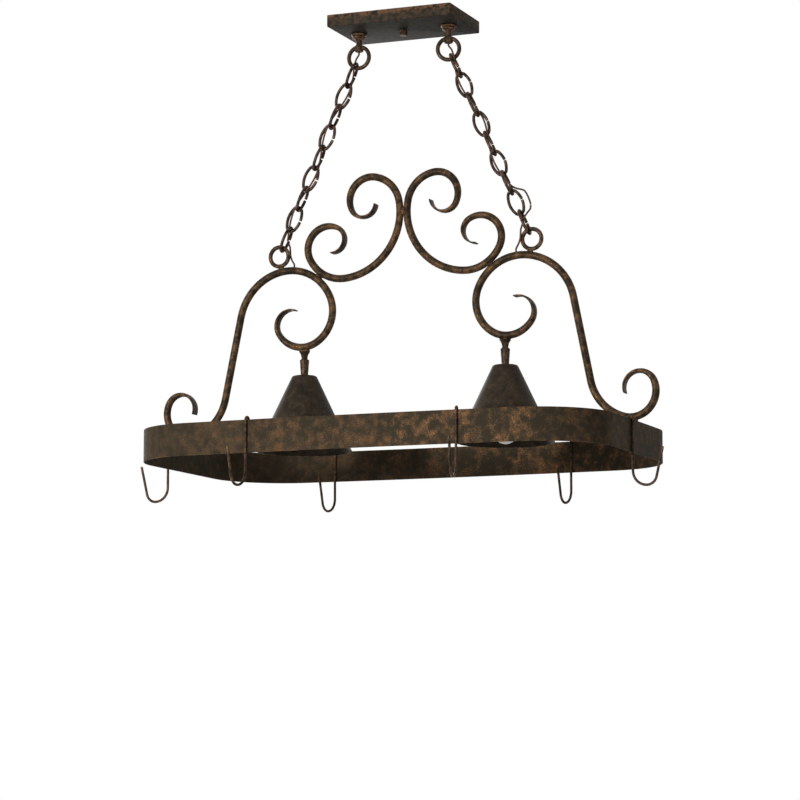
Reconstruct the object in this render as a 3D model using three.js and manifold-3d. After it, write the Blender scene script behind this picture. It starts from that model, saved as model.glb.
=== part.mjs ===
// Hanging pot rack with two downlights: a ceiling canopy, two chains, scroll work and an oblong band with hooks.
// Millimetres, +Z up. The origin is the middle of the ceiling crossbar's top face, where the rack is fixed,
// and everything hangs below it. X runs along the band's long side, and the front looks along -Y.
import * as THREE from "three";
import { mergeVertices } from "three/addons/utils/BufferGeometryUtils.js";
import Module from "manifold-3d";

const wasm = await Module();
wasm.setup();

// ---- driving dimensions ----

const gap = 0.3; // between pieces that rest on each other or are welded

// ceiling canopy
const canopyLength = 212;
const canopyWidth = 133;
const canopyHeight = 19;
const canopyWall = 1.5;
const crossbarLength = 104;
const crossbarWidth = 26;
const crossbarThickness = 3;
const crossbarHoleRadius = 2.6;
const crossbarHoleSpacing = 76;
const studRadius = 3;
const capNutRadius = 6.5;
const capNutHeight = 9;
const capNutThreadDepth = 6;

// canopy loops
const loopSpacing = 155; // from the left loop's axis to the right one's
const loopDrop = 38.2; // from the canopy's underside to the ring's centre
const loopRadius = 17.5; // to the middle of the wire
const loopWireRadius = 3.4;
const rightLoopYaw = 10; // degrees, its outer side turned to the back
const neckRadius = 4.6;
const neckBoreRadius = 2.2;
const bossRadius = 7.2; // the thick piece where the neck joins the ring
const bossInsideRing = 8.7; // below the ring wire's middle
const lockNutRadius = 9;
const lockNutHeight = 5;
const collarRadius = 13;
const collarRidgeRadius = 10.4;
const collarFootRadius = 5.6;
const collarAboveRing = 7.5;

// chains
const linksPerChain = 9;
const linkWireRadius = 2.5;
const linkInnerLength = 35.98;
const linkInnerWidth = 17;
const linkEndRadius = 8; // to the middle of the wire
const linkOpening = 1.8; // the gap in each open link's side
const loopContactGap = 0.9; // clears the turned ring as the rack swings
const pivotContactGap = 0.8; // between the last two links
const scrollRingRadius = 15.8;
const scrollRingWireRadius = 3.4;
const scrollRingLean = 9.7; // degrees from the crown's highest point, outwards

// scroll work, in the XZ plane, heights above the band's top edge
const rodRadius = 6;
const rodTipThickness = 2.6;
const rodTipWidth = 18.6;
const rodTaperLength = 100;
const crownHeight = 269.6;
const crownHeading = -5;
const legCrownRadius = 88.9;
const legCrownTurn = -73.5;
const legFootRadius = 76.1;
const legFootTurn = 62.6;
const endCurlRadius = 40.1;
const endCurlTurn = 129.4;
const endCurlTipRadius = 24.7;
const endCurlTipTurn = 177.9;
const innerCurlRadii = [77.3, 58, 48.1, 25.7]; // from the crown inwards to the tip
const innerCurlTurns = [71.7, 81.1, 89.3, 138.1];
const weldAboveCrown = 84; // where the two C-scrolls meet
const upperCurlRadii = [91.2, 51.6, 36.5, 22.1]; // from the weld to the tip
const upperCurlTurns = [-12, -69.7, -124.3, -149];
const lowerCurlRadii = [102.4, 62.3, 36.1, 21.4];
const lowerCurlTurns = [87.2, 66.6, 144.1, 154.7];

// band
const bandHeight = 50.8;
const bandThickness = 3;
const bandBeyondFoot = 9.2; // from the lowest point of a scroll's foot to the band's end
const bandHalfWidth = 241.4;
const bandCornerRadius = 120.8;
const bandSideRadius = 5500; // the long sides are slightly bowed

// downlights, heights above the band's top edge
const shadeInset = 3.8; // from the inner curl's lowest point towards the middle
const fittingHeight = 13.8;
const fittingTopRadius = 9.2;
const fittingWaistRadius = 4.9;
const fittingWaistHeight = 2.6; // above its lower end
const sleeveHeight = 25;
const sleeveTopRadius = 7.7;
const sleeveBottomRadius = 6;
const nippleRadius = 3.2;
const nippleBoreRadius = 1.8;
const shadeTopRadius = 19.5;
const shadeRimRadius = 77;
const shadeRimBelowEdge = 25;
const shadeDome = 1.4;
const shadeWall = 1.3;
const socketRadius = 17;
const socketCapRadius = 12;
const socketCapHeight = 12;
const socketLength = 54;
const socketBoreRadius = 13.7;
const bulbBaseRadius = 13;
const bulbRadius = 22;
const bulbBelowRim = { left: -4.5, right: 2.3 }; // the left one sits deeper and doesn't show

// hooks
const hookWireRadius = 2.1;
const hookReturn = 20; // the short leg behind the band
const hookLeg = 80;
const hookBendRadius = 22;
const hookLipRadius = 15.5;
const hookLipTurn = 77;
const hookLip = 47;
const endHooks = [
  { name: "hook_1", sign: -1, y: -52 },
  { name: "hook_6", sign: 1, y: -30 },
];
// yaw turns the hook's open side from the front (-Y) towards +X, in degrees
const sideHooks = [
  { name: "hook_2", x: -161, side: -1, yaw: -10 },
  { name: "hook_3", x: -217.5, side: 1, yaw: -10 },
  { name: "hook_4", x: 181, side: -1, yaw: 8.5 },
  { name: "hook_5", x: 200, side: 1, yaw: -8.5 },
];

// supply cords
const cordRadius = 1.5;
const cordWrapRadius = 5.9; // the cord winds through the links at this distance from the chain's line
const rightCordBulge = 16; // how much further out the right cord stands beside the last link but one
const cordBulgeReach = { above: 0.6, below: 0.74 }; // from that link's middle to the bulge's end, in links
const cordHold = { above: 0.3, below: 0.6 }; // how far the cord stays on the outer side there, in links
const cordEntryInset = 14.7; // where the cord goes into the scroll, inwards from the crown
const cordEndGap = 1.1; // its end is square and the rod round
const cordPieceGap = 0.8; // between its pieces, along the chain

// mesh fineness
const wireSides = 6;
const rodSides = 8;
const roundSides = 24;
const smallRoundSides = 16;
const scrollStep = 15; // degrees of bend in one straight piece of a rod
const hookStep = 18;
const linkStep = 13;

// ---- derived places ----

const canopyUnderside = -canopyHeight;
const loopZ = canopyUnderside - loopDrop;
const firstLinkTop = loopRadius - loopWireRadius - loopContactGap; // from the loop's centre, along the chain
const linkPitch = linkInnerLength - gap;
const pivotSlack = pivotContactGap - gap;
const lastLinkTop = firstLinkTop + (linksPerChain - 1) * linkPitch - pivotSlack;
const chainSpan = lastLinkTop + linkInnerLength - gap + scrollRingRadius - scrollRingWireRadius;

// ---- helpers ----

const sides = [
  { name: "left", sign: -1 },
  { name: "right", sign: 1 },
];

function finish(colour, roughness, metalness) {
  return new THREE.MeshStandardMaterial({ color: colour, roughness, metalness });
}

function radians(angle) {
  return THREE.MathUtils.degToRad(angle);
}

function degrees(angle) {
  return THREE.MathUtils.radToDeg(angle);
}

function solidOf(geometry) {
  const bare = geometry.clone();
  bare.deleteAttribute("normal");
  bare.deleteAttribute("uv");
  const merged = mergeVertices(bare, 1e-4);
  return new wasm.Manifold(
    new wasm.Mesh({
      numProp: 3,
      vertProperties: merged.attributes.position.array,
      triVerts: new Uint32Array(merged.index.array),
    }),
  );
}

function geometryOf(solid) {
  const mesh = solid.getMesh();
  const geometry = new THREE.BufferGeometry();
  geometry.setAttribute("position", new THREE.BufferAttribute(mesh.vertProperties, 3));
  geometry.setIndex(new THREE.BufferAttribute(mesh.triVerts, 1));
  geometry.computeVertexNormals();
  return geometry;
}

function cutFrom(body, ...tools) {
  const left = tools.reduce((solid, tool) => solid.subtract(solidOf(tool)), solidOf(body));
  return geometryOf(left);
}

function block(length, width, low, high) {
  return new THREE.BoxGeometry(length, width, high - low).translate(0, 0, (low + high) / 2);
}

function cylinder(radius, low, high, segments = smallRoundSides) {
  const geometry = new THREE.CylinderGeometry(radius, radius, high - low, segments);
  return geometry.rotateX(Math.PI / 2).translate(0, 0, (low + high) / 2);
}

// A closed profile of [radius, height] points turned about Z, its points going up the outer side.
function turned(profile, segments = roundSides) {
  const points = profile.map(([radius, height]) => new THREE.Vector2(radius, height));
  if (profile[0][0] > 0) {
    points.push(points[0].clone());
  }
  return new THREE.LatheGeometry(points, segments).rotateX(Math.PI / 2);
}

function arcs(radii, turns) {
  return radii.map((radius, k) => ({ radius, turn: turns[k] }));
}

// Stations along a planar path of straight pieces and arcs. A turn is positive to the left.
function stationsAlong(start, heading, runs, stepDegrees) {
  const stations = [{ x: start.x, z: start.z, heading }];
  let { x, z } = start;
  let angle = heading;
  for (const run of runs) {
    if (run.straight) {
      x += run.straight * Math.cos(radians(angle));
      z += run.straight * Math.sin(radians(angle));
      stations.push({ x, z, heading: angle });
      continue;
    }
    const steps = Math.max(1, Math.round(Math.abs(run.turn) / stepDegrees));
    const side = Math.sign(run.turn);
    const centre = {
      x: x - side * run.radius * Math.sin(radians(angle)),
      z: z + side * run.radius * Math.cos(radians(angle)),
    };
    for (let step = 1; step <= steps; step++) {
      const at = angle + (run.turn * step) / steps;
      x = centre.x + side * run.radius * Math.sin(radians(at));
      z = centre.z - side * run.radius * Math.cos(radians(at));
      stations.push({ x, z, heading: at });
    }
    angle += run.turn;
  }
  return stations;
}

function reversed(stations) {
  return stations.map(({ x, z, heading }) => ({ x, z, heading: heading + 180 })).reverse();
}

function mirrored(stations) {
  return stations.map(({ x, z, heading }) => ({ x: -x, z, heading: 180 - heading }));
}

function distancesAlong(stations) {
  const distances = [0];
  for (let k = 1; k < stations.length; k++) {
    const last = stations[k - 1];
    distances.push(distances[k - 1] + Math.hypot(stations[k].x - last.x, stations[k].z - last.z));
  }
  return distances;
}

// A straight round bar of unit depth, bent along the stations. halfSizes gives the bar's half thickness in
// the path's plane and its half width across it, at a distance from the nearer end.
function bentBar(stations, barSides, halfSizes) {
  const outline = new THREE.Shape(
    Array.from({ length: barSides }, (_, k) => {
      const angle = (k / barSides) * 2 * Math.PI;
      return new THREE.Vector2(Math.cos(angle), Math.sin(angle));
    }),
  );
  const steps = stations.length - 1;
  const geometry = new THREE.ExtrudeGeometry(outline, { depth: 1, steps, bevelEnabled: false });
  const distances = distancesAlong(stations);
  const length = distances[steps];
  const position = geometry.getAttribute("position");
  for (let i = 0; i < position.count; i++) {
    const k = Math.round(position.getZ(i) * steps);
    const { x, z, heading } = stations[k];
    const [thick, wide] = halfSizes(Math.min(distances[k], length - distances[k]));
    const across = position.getX(i) * thick;
    position.setXYZ(
      i,
      x + Math.sin(radians(heading)) * across,
      position.getY(i) * wide,
      z - Math.cos(radians(heading)) * across,
    );
  }
  geometry.computeVertexNormals();
  return geometry;
}

function wire(stations, radius) {
  return bentBar(stations, wireSides, () => [radius, radius]);
}

// Round rod whose ends are hammered out thin and wide.
function forgedRod(stations) {
  return bentBar(stations, rodSides, (fromEnd) => {
    const full = Math.min(1, fromEnd / rodTaperLength);
    const ease = full * full * (3 - 2 * full);
    const thick = rodTipThickness + (2 * rodRadius - rodTipThickness) * ease;
    const wide = rodTipWidth + (2 * rodRadius - rodTipWidth) * ease;
    return [thick / 2, wide / 2];
  });
}

function ring(radius, wireRadius) {
  return new THREE.TorusGeometry(radius, wireRadius, wireSides, 20).rotateX(Math.PI / 2);
}

function place(parent, name, geometry, material) {
  const mesh = new THREE.Mesh(geometry, material);
  mesh.name = name;
  parent.add(mesh);
  return mesh;
}

// ---- materials ----

const rustyBronze = finish(0x3a2a20, 0.62, 0.55);
const darkIron = finish(0x2c2622, 0.6, 0.6);
const chainIron = finish(0x241d1a, 0.5, 0.7);
const hookWireFinish = finish(0x4a2f20, 0.5, 0.6);
const plainSteel = finish(0x8b8b88, 0.45, 0.8);
const brownCord = finish(0x5a3c28, 0.6, 0);
const socketWhite = finish(0xd9d6cc, 0.5, 0);
const bulbWhite = finish(0xf2f0ea, 0.25, 0);

const rack = new THREE.Group();

// ---- ceiling canopy ----

function makeCanopy() {
  const neckHoles = sides.map(({ sign }) =>
    cylinder(neckRadius + gap, canopyUnderside - 1, canopyUnderside + canopyWall + 1)
      .translate((sign * loopSpacing) / 2, 0, 0),
  );
  const studHole = cylinder(studRadius + gap, canopyUnderside - 1, canopyUnderside + canopyWall + 1);
  const inside = block(
    canopyLength - 2 * canopyWall,
    canopyWidth - 2 * canopyWall,
    canopyUnderside + canopyWall,
    1,
  );
  const shell = block(canopyLength, canopyWidth, canopyUnderside, 0);
  place(rack, "canopy", cutFrom(shell, inside, studHole, ...neckHoles), rustyBronze);

  const screwHoles = sides.map(({ sign }) =>
    cylinder(crossbarHoleRadius, -crossbarThickness - 1, 1).translate((sign * crossbarHoleSpacing) / 2, 0, 0),
  );
  const bar = block(crossbarLength, crossbarWidth, -crossbarThickness, 0);
  place(rack, "ceiling_crossbar", cutFrom(bar, ...screwHoles), plainSteel);

  const nutTop = canopyUnderside - gap;
  const studEnd = nutTop - capNutThreadDepth;
  place(rack, "canopy_stud", cylinder(studRadius, studEnd, -crossbarThickness - gap), plainSteel);
  const nut = turned([
    [0, nutTop - capNutHeight],
    [capNutRadius - 1, nutTop - capNutHeight],
    [capNutRadius, nutTop - capNutHeight + 1],
    [capNutRadius, nutTop],
    [studRadius + gap, nutTop],
    [studRadius + gap, studEnd - gap],
    [0, studEnd - gap],
  ]);
  place(rack, "canopy_cap_nut", nut, darkIron);
}

// ---- canopy loops ----

function makeLoop({ name, sign }) {
  const loop = new THREE.Group();
  loop.position.set((sign * loopSpacing) / 2, 0, loopZ);
  loop.rotation.z = sign > 0 ? radians(rightLoopYaw) : 0;
  rack.add(loop);

  const collarTop = loopDrop - gap;
  const nutSeat = loopDrop + canopyWall + gap;
  const neckTop = nutSeat + lockNutHeight + 1;
  const bossEnd = loopRadius - bossInsideRing;
  const bossTop = loopRadius + loopWireRadius;
  const bore = cylinder(neckBoreRadius, bossEnd - 1, neckTop + 1, wireSides * 2);
  const neck = turned(
    [
      [0, bossEnd],
      [bossRadius - 1.4, bossEnd],
      [bossRadius, bossEnd + 1.6],
      [bossRadius, bossTop - 2.4],
      [neckRadius, bossTop],
      [neckRadius, neckTop],
      [0, neckTop],
    ],
    smallRoundSides,
  );
  const joined = solidOf(ring(loopRadius, loopWireRadius)).add(solidOf(neck)).subtract(solidOf(bore));
  place(loop, `canopy_loop_${name}`, geometryOf(joined), darkIron);

  const collarBottom = loopRadius + loopWireRadius + collarAboveRing;
  const hole = neckRadius + gap;
  const collar = turned([
    [hole, collarBottom],
    [collarFootRadius, collarBottom],
    [collarRidgeRadius, collarBottom + 3.4],
    [collarRidgeRadius, collarBottom + 5.4],
    [collarRidgeRadius - 1, collarBottom + 6.4],
    [collarRadius - 1, collarTop - 2.6],
    [collarRadius, collarTop - 1.6],
    [collarRadius, collarTop],
    [hole, collarTop],
  ]);
  place(loop, `screw_collar_${name}`, collar, darkIron);

  const nutHole = cylinder(hole, nutSeat - 1, nutSeat + lockNutHeight + 1);
  const hexagon = cylinder(lockNutRadius, nutSeat, nutSeat + lockNutHeight, 6);
  place(loop, `loop_lock_nut_${name}`, cutFrom(hexagon, nutHole), plainSteel);
}

// ---- scroll work ----

const fineStep = 1;
const weld = { x: rodRadius + gap / 2, z: crownHeight + weldAboveCrown };
const innerCurl = arcs(innerCurlRadii, innerCurlTurns);
const upperCurl = arcs(upperCurlRadii, upperCurlTurns);
const lowerCurl = arcs(lowerCurlRadii, lowerCurlTurns);
const upperCurlStations = stationsAlong(weld, 90, upperCurl, scrollStep);
const lowerCurlStations = stationsAlong(weld, -90, lowerCurl, scrollStep);

function shortestBetween(first, second, shift) {
  let shortest = Infinity;
  for (const a of first) {
    for (const b of second) {
      shortest = Math.min(shortest, Math.hypot(a.x - b.x - shift, a.z - b.z));
    }
  }
  return shortest;
}

// How far out from the middle the outer scroll's crown stands, so that its inner curl lies against the C-scroll.
function crownReach() {
  const still = stationsAlong(weld, -90, lowerCurl, fineStep);
  const moving = stationsAlong({ x: 0, z: crownHeight }, crownHeading + 180, innerCurl, fineStep);
  let near = weld.x + lowerCurlRadii[0];
  let far = 3 * near;
  for (let round = 0; round < 24; round++) {
    const middle = (near + far) / 2;
    if (shortestBetween(still, moving, middle) < 2 * rodRadius + gap) {
      near = middle;
    } else {
      far = middle;
    }
  }
  return far;
}

const crown = { x: crownReach(), z: crownHeight };
const innerCurlStations = stationsAlong(crown, crownHeading + 180, innerCurl, scrollStep);
const legHeading = crownHeading + legCrownTurn;
const legCrown = { radius: legCrownRadius, turn: legCrownTurn };
const legFoot = [
  { radius: legFootRadius, turn: legFootTurn },
  { radius: endCurlRadius, turn: endCurlTurn },
];
const legTip = { radius: endCurlTipRadius, turn: endCurlTipTurn };

function lowestOf(stations) {
  return stations.reduce((low, station) => (station.z < low.z ? station : low));
}

// The leg's straight piece is as long as it takes for the foot to lie on the band's top edge.
const shortLeg = stationsAlong(crown, crownHeading, [legCrown, ...legFoot], fineStep);
const legStraight = (lowestOf(shortLeg).z - rodRadius) / Math.sin(radians(-legHeading));
const footX = lowestOf(shortLeg).x + legStraight * Math.cos(radians(legHeading));
const legStations = stationsAlong(
  crown,
  crownHeading,
  [legCrown, { straight: legStraight }, ...legFoot, legTip],
  scrollStep,
);
const crownCentre = {
  x: crown.x + legCrownRadius * Math.sin(radians(crownHeading)),
  z: crown.z - legCrownRadius * Math.cos(radians(crownHeading)),
};
const ringFromCrownCentre = legCrownRadius + rodRadius + gap + scrollRingRadius + scrollRingWireRadius;
const scrollRingCentre = {
  x: crownCentre.x + ringFromCrownCentre * Math.sin(radians(scrollRingLean)),
  z: crownCentre.z + ringFromCrownCentre * Math.cos(radians(scrollRingLean)),
};

function makeScrolls(frame, { name, sign }) {
  const toSide = (stations) => (sign > 0 ? stations : mirrored(stations));
  const outer = [...reversed(legStations), ...innerCurlStations.slice(1)];
  place(frame, `outer_scroll_${name}`, forgedRod(toSide(outer)), rustyBronze);

  const cScroll = [...reversed(upperCurlStations), ...lowerCurlStations.slice(1)];
  place(frame, `c_scroll_${name}`, forgedRod(toSide(cScroll)), rustyBronze);

  const crownRing = place(
    frame,
    `scroll_ring_${name}`,
    ring(scrollRingRadius, scrollRingWireRadius),
    darkIron,
  );
  crownRing.position.set(sign * scrollRingCentre.x, 0, scrollRingCentre.z);
}

// ---- band ----

const bandHalfLength = footX + bandBeyondFoot;
const cornerX = bandHalfLength - bandCornerRadius;
const sideHalfAngle = Math.asin(cornerX / (bandSideRadius - bandCornerRadius));
const sideCentreY = bandHalfWidth - bandSideRadius;
const cornerY = sideCentreY + (bandSideRadius - bandCornerRadius) * Math.cos(sideHalfAngle);

// The band's outline, moved inwards by inset: half of it from the middle of the right end, over the bowed
// side, to the middle of the left end, and the same turned half round.
function bandOutline(inset) {
  const cornerSteps = 10;
  const sideSteps = 12;
  const corner = Array.from({ length: cornerSteps + 1 }, (_, k) => {
    const angle = (k / cornerSteps) * (Math.PI / 2 - sideHalfAngle);
    const radius = bandCornerRadius - inset;
    return [cornerX + radius * Math.cos(angle), cornerY + radius * Math.sin(angle)];
  });
  const side = Array.from({ length: sideSteps - 1 }, (_, k) => {
    const angle = sideHalfAngle * (1 - (2 * (k + 1)) / sideSteps);
    const radius = bandSideRadius - inset;
    return [radius * Math.sin(angle), sideCentreY + radius * Math.cos(angle)];
  });
  const otherCorner = corner.map(([x, y]) => [-x, y]).reverse();
  const half = [...corner, ...side, ...otherCorner];
  const points = [...half, ...half.map(([x, y]) => [-x, -y])];
  return points.map(([x, y]) => new THREE.Vector2(x, y));
}

function makeBand(frame) {
  const outline = new THREE.Shape(bandOutline(0));
  outline.holes.push(new THREE.Path(bandOutline(bandThickness)));
  const geometry = new THREE.ExtrudeGeometry(outline, { depth: bandHeight, bevelEnabled: false });
  place(frame, "band", geometry.translate(0, 0, -bandHeight), rustyBronze);
}

// ---- downlights ----

const curlBottom = lowestOf(stationsAlong(crown, crownHeading + 180, innerCurl, fineStep));
const shadeX = curlBottom.x - shadeInset;
const fittingTop = curlBottom.z - rodRadius - gap;
const sleeveTop = fittingTop - fittingHeight - gap;
const shadeTop = sleeveTop - sleeveHeight - gap;
const shadeRim = -shadeRimBelowEdge;

function makeDownlight(frame, { name, sign }) {
  const lamp = new THREE.Group();
  lamp.position.x = sign * shadeX;
  frame.add(lamp);

  const fittingBottom = fittingTop - fittingHeight;
  const fittingWaist = fittingBottom + fittingWaistHeight;
  const fitting = turned(
    [
      [0, fittingBottom],
      [fittingWaistRadius + 0.9, fittingBottom],
      [fittingWaistRadius, fittingWaist - 1],
      [fittingWaistRadius, fittingWaist],
      [(fittingWaistRadius + fittingTopRadius) / 2 - 0.8, (fittingWaist + fittingTop) / 2],
      [fittingTopRadius, fittingTop - 1],
      [fittingTopRadius, fittingTop],
      [0, fittingTop],
    ],
    smallRoundSides,
  );
  place(lamp, `neck_fitting_${name}`, fitting, darkIron);

  const bore = nippleRadius + gap;
  const sleeve = turned(
    [
      [bore, sleeveTop - sleeveHeight],
      [sleeveBottomRadius, sleeveTop - sleeveHeight],
      [sleeveTopRadius, sleeveTop - 1],
      [sleeveTopRadius, sleeveTop],
      [bore, sleeveTop],
    ],
    smallRoundSides,
  );
  place(lamp, `neck_sleeve_${name}`, sleeve, darkIron);

  const socketTop = shadeTop - shadeWall - gap;
  const nipple = cutFrom(
    cylinder(nippleRadius, socketTop - socketCapHeight + 2, sleeveTop - 2),
    cylinder(nippleBoreRadius, socketTop - socketCapHeight, sleeveTop, wireSides),
  );
  place(lamp, `lamp_nipple_${name}`, nipple, plainSteel);

  const shoulder = shadeTop - shadeDome;
  const slope = (shadeRimRadius - shadeTopRadius) / (shoulder - shadeRim);
  const innerShoulder = shoulder - shadeWall;
  const innerShoulderRadius = shadeTopRadius + slope * shadeWall - shadeWall * Math.hypot(1, slope);
  const shade = turned([
    [bore, shadeTop - shadeWall],
    [innerShoulderRadius, innerShoulder],
    [shadeRimRadius - shadeWall * Math.hypot(1, slope), shadeRim],
    [shadeRimRadius, shadeRim],
    [shadeTopRadius, shoulder],
    [bore, shadeTop],
  ]);
  place(lamp, `shade_${name}`, shade, rustyBronze);

  const socketBottom = socketTop - socketLength;
  const boreTop = socketTop - socketCapHeight - 3;
  const socket = turned([
    [bore, boreTop],
    [socketBoreRadius, boreTop],
    [socketBoreRadius, socketBottom],
    [socketRadius, socketBottom],
    [socketRadius, socketTop - socketCapHeight],
    [socketCapRadius, socketTop - shadeDome],
    [bore, socketTop - shadeDome],
  ]);
  place(lamp, `lamp_socket_${name}`, socket, socketWhite);

  const nose = shadeRim - bulbBelowRim[name];
  const baseTop = boreTop - 2;
  const bulb = [[0, nose]];
  const capSteps = 6;
  for (let k = 1; k <= capSteps; k++) {
    const angle = (k / capSteps) * (Math.PI / 2);
    bulb.push([bulbRadius * Math.sin(angle), nose + bulbRadius * (1 - Math.cos(angle))]);
  }
  const bulbNeck = (nose + bulbRadius + socketBottom) / 2;
  bulb.push(
    [(bulbRadius + bulbBaseRadius) / 2 + 1, bulbNeck],
    [bulbBaseRadius, socketBottom - 2],
    [bulbBaseRadius, baseTop - 4],
    [bulbBaseRadius / 2, baseTop],
    [0, baseTop],
  );
  place(lamp, `bulb_${name}`, turned(bulb, smallRoundSides), bulbWhite);
}

// ---- hooks ----

// Centreline from the short leg's end over the band's edge to the tip, in the hook's own plane.
const hookSaddleRadius = bandThickness / 2 + gap + hookWireRadius;
const hookStations = stationsAlong(
  { x: -hookSaddleRadius, z: -hookReturn },
  90,
  [
    { straight: hookReturn },
    { radius: hookSaddleRadius, turn: -180 },
    { straight: hookLeg },
    { radius: hookBendRadius, turn: 90 },
    { radius: hookLipRadius, turn: hookLipTurn },
    { straight: hookLip },
  ],
  hookStep,
);

// Places a hook over the middle of the band's thickness, with its open side towards the heading in plan.
function placeHook(frame, name, x, y, heading) {
  const hook = place(frame, name, wire(hookStations, hookWireRadius), hookWireFinish);
  hook.position.set(x, y, 0);
  hook.rotation.z = radians(heading);
}

function makeHooks(frame) {
  for (const { name, sign, y } of endHooks) {
    placeHook(frame, name, sign * (bandHalfLength - bandThickness / 2), y, sign > 0 ? 0 : 180);
  }
  const middleRadius = bandSideRadius - bandThickness / 2;
  for (const { name, x, side, yaw } of sideHooks) {
    const y = side * (sideCentreY + Math.sqrt(middleRadius ** 2 - x ** 2));
    placeHook(frame, name, x, y, yaw - 90);
  }
}

// ---- chains and cords ----

const chainRun = scrollRingCentre.x - loopSpacing / 2;
const chainDrop = Math.sqrt(chainSpan ** 2 - chainRun ** 2);
const chainLean = Math.atan2(chainRun, chainDrop);
const bandTop = loopZ - chainDrop - scrollRingCentre.z;

// An open link is an oval of four arcs, to the middle of the wire.
const linkHalfLength = linkInnerLength / 2 + linkWireRadius;
const linkHalfWidth = linkInnerWidth / 2 + linkWireRadius;
const linkEndReach = linkHalfLength - linkEndRadius;
const linkSideRadius =
  (linkHalfWidth ** 2 - linkEndRadius ** 2 + linkEndReach ** 2) / (2 * (linkHalfWidth - linkEndRadius));
const linkSideTurn = degrees(Math.atan2(linkEndReach, linkSideRadius - linkHalfWidth));
const linkOpeningTurn = degrees(linkOpening / 2 / linkSideRadius);
const linkStations = stationsAlong(
  {
    x: linkHalfWidth - linkSideRadius * (1 - Math.cos(radians(linkOpeningTurn))),
    z: linkSideRadius * Math.sin(radians(linkOpeningTurn)),
  },
  90 + linkOpeningTurn,
  [
    { radius: linkSideRadius, turn: linkSideTurn - linkOpeningTurn },
    { radius: linkEndRadius, turn: 180 - 2 * linkSideTurn },
    { radius: linkSideRadius, turn: 2 * linkSideTurn },
    { radius: linkEndRadius, turn: 180 - 2 * linkSideTurn },
    { radius: linkSideRadius, turn: linkSideTurn - linkOpeningTurn },
  ],
  linkStep,
);

function linkTop(number) {
  const slack = number === linksPerChain ? pivotSlack : 0;
  return firstLinkTop + (number - 1) * linkPitch - slack;
}

function makeChain({ name, sign }) {
  const chain = new THREE.Group();
  chain.position.set((sign * loopSpacing) / 2, 0, loopZ);
  chain.rotation.y = -sign * chainLean;
  rack.add(chain);
  for (let number = 1; number <= linksPerChain; number++) {
    const link = place(chain, `${name}_link_${number}`, wire(linkStations, linkWireRadius), chainIron);
    link.position.z = -linkTop(number) - linkInnerLength / 2;
    link.rotation.z = number % 2 ? Math.PI / 2 : 0;
  }
}

// A point beside the chain: along is the distance down from the loop's centre, outward and aside are across.
// Aside is to the back on the left and to the front on the right.
function besideChain(sign, along, outward, aside) {
  return new THREE.Vector3(
    sign * (loopSpacing / 2 + along * Math.sin(chainLean) + outward * Math.cos(chainLean)),
    -sign * aside,
    loopZ - along * Math.cos(chainLean) + outward * Math.sin(chainLean),
  );
}

// A point beside a scroll ring, from its centre.
function besideRing(sign, outward, up, aside) {
  return new THREE.Vector3(
    sign * (scrollRingCentre.x + outward),
    -sign * aside,
    bandTop + scrollRingCentre.z + up,
  );
}

// The cord winds round the chain's line, a quarter turn for each link, through one link after another. The
// right one winds the other way and stands off in a loop beside the last link but one.
function woundPoint(sign, along) {
  const firstMiddle = firstLinkTop + linkInnerLength / 2;
  const links = (along - firstMiddle) / linkPitch;
  const fromLoop = links - (linksPerChain - 2);
  let radius = cordWrapRadius;
  let quarters = links + 1;
  if (sign > 0) {
    const way = fromLoop < 0 ? "above" : "below";
    radius += rightCordBulge * Math.exp(-((fromLoop / cordBulgeReach[way]) ** 4));
    if (Math.abs(fromLoop) < 1) {
      const hold = cordHold[way];
      const beyondHold = Math.max(0, Math.abs(fromLoop) - hold) / (1 - hold);
      quarters += Math.sign(fromLoop) * beyondHold - fromLoop;
    }
  }
  const angle = (Math.PI / 2) * quarters;
  return besideChain(sign, along, radius * Math.cos(angle), radius * Math.sin(angle));
}

function woundPoints(sign, from, to, count) {
  return Array.from({ length: count }, (_, k) => woundPoint(sign, from + ((to - from) * k) / (count - 1)));
}

function cordTube(points, steps) {
  const path = new THREE.CatmullRomCurve3(points, false, "centripetal");
  const outline = new THREE.Shape(
    Array.from({ length: rodSides }, (_, k) => {
      const angle = (k / rodSides) * 2 * Math.PI;
      return new THREE.Vector2(cordRadius * Math.cos(angle), cordRadius * Math.sin(angle));
    }),
  );
  return new THREE.ExtrudeGeometry(outline, { steps, extrudePath: path, bevelEnabled: false });
}

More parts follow.
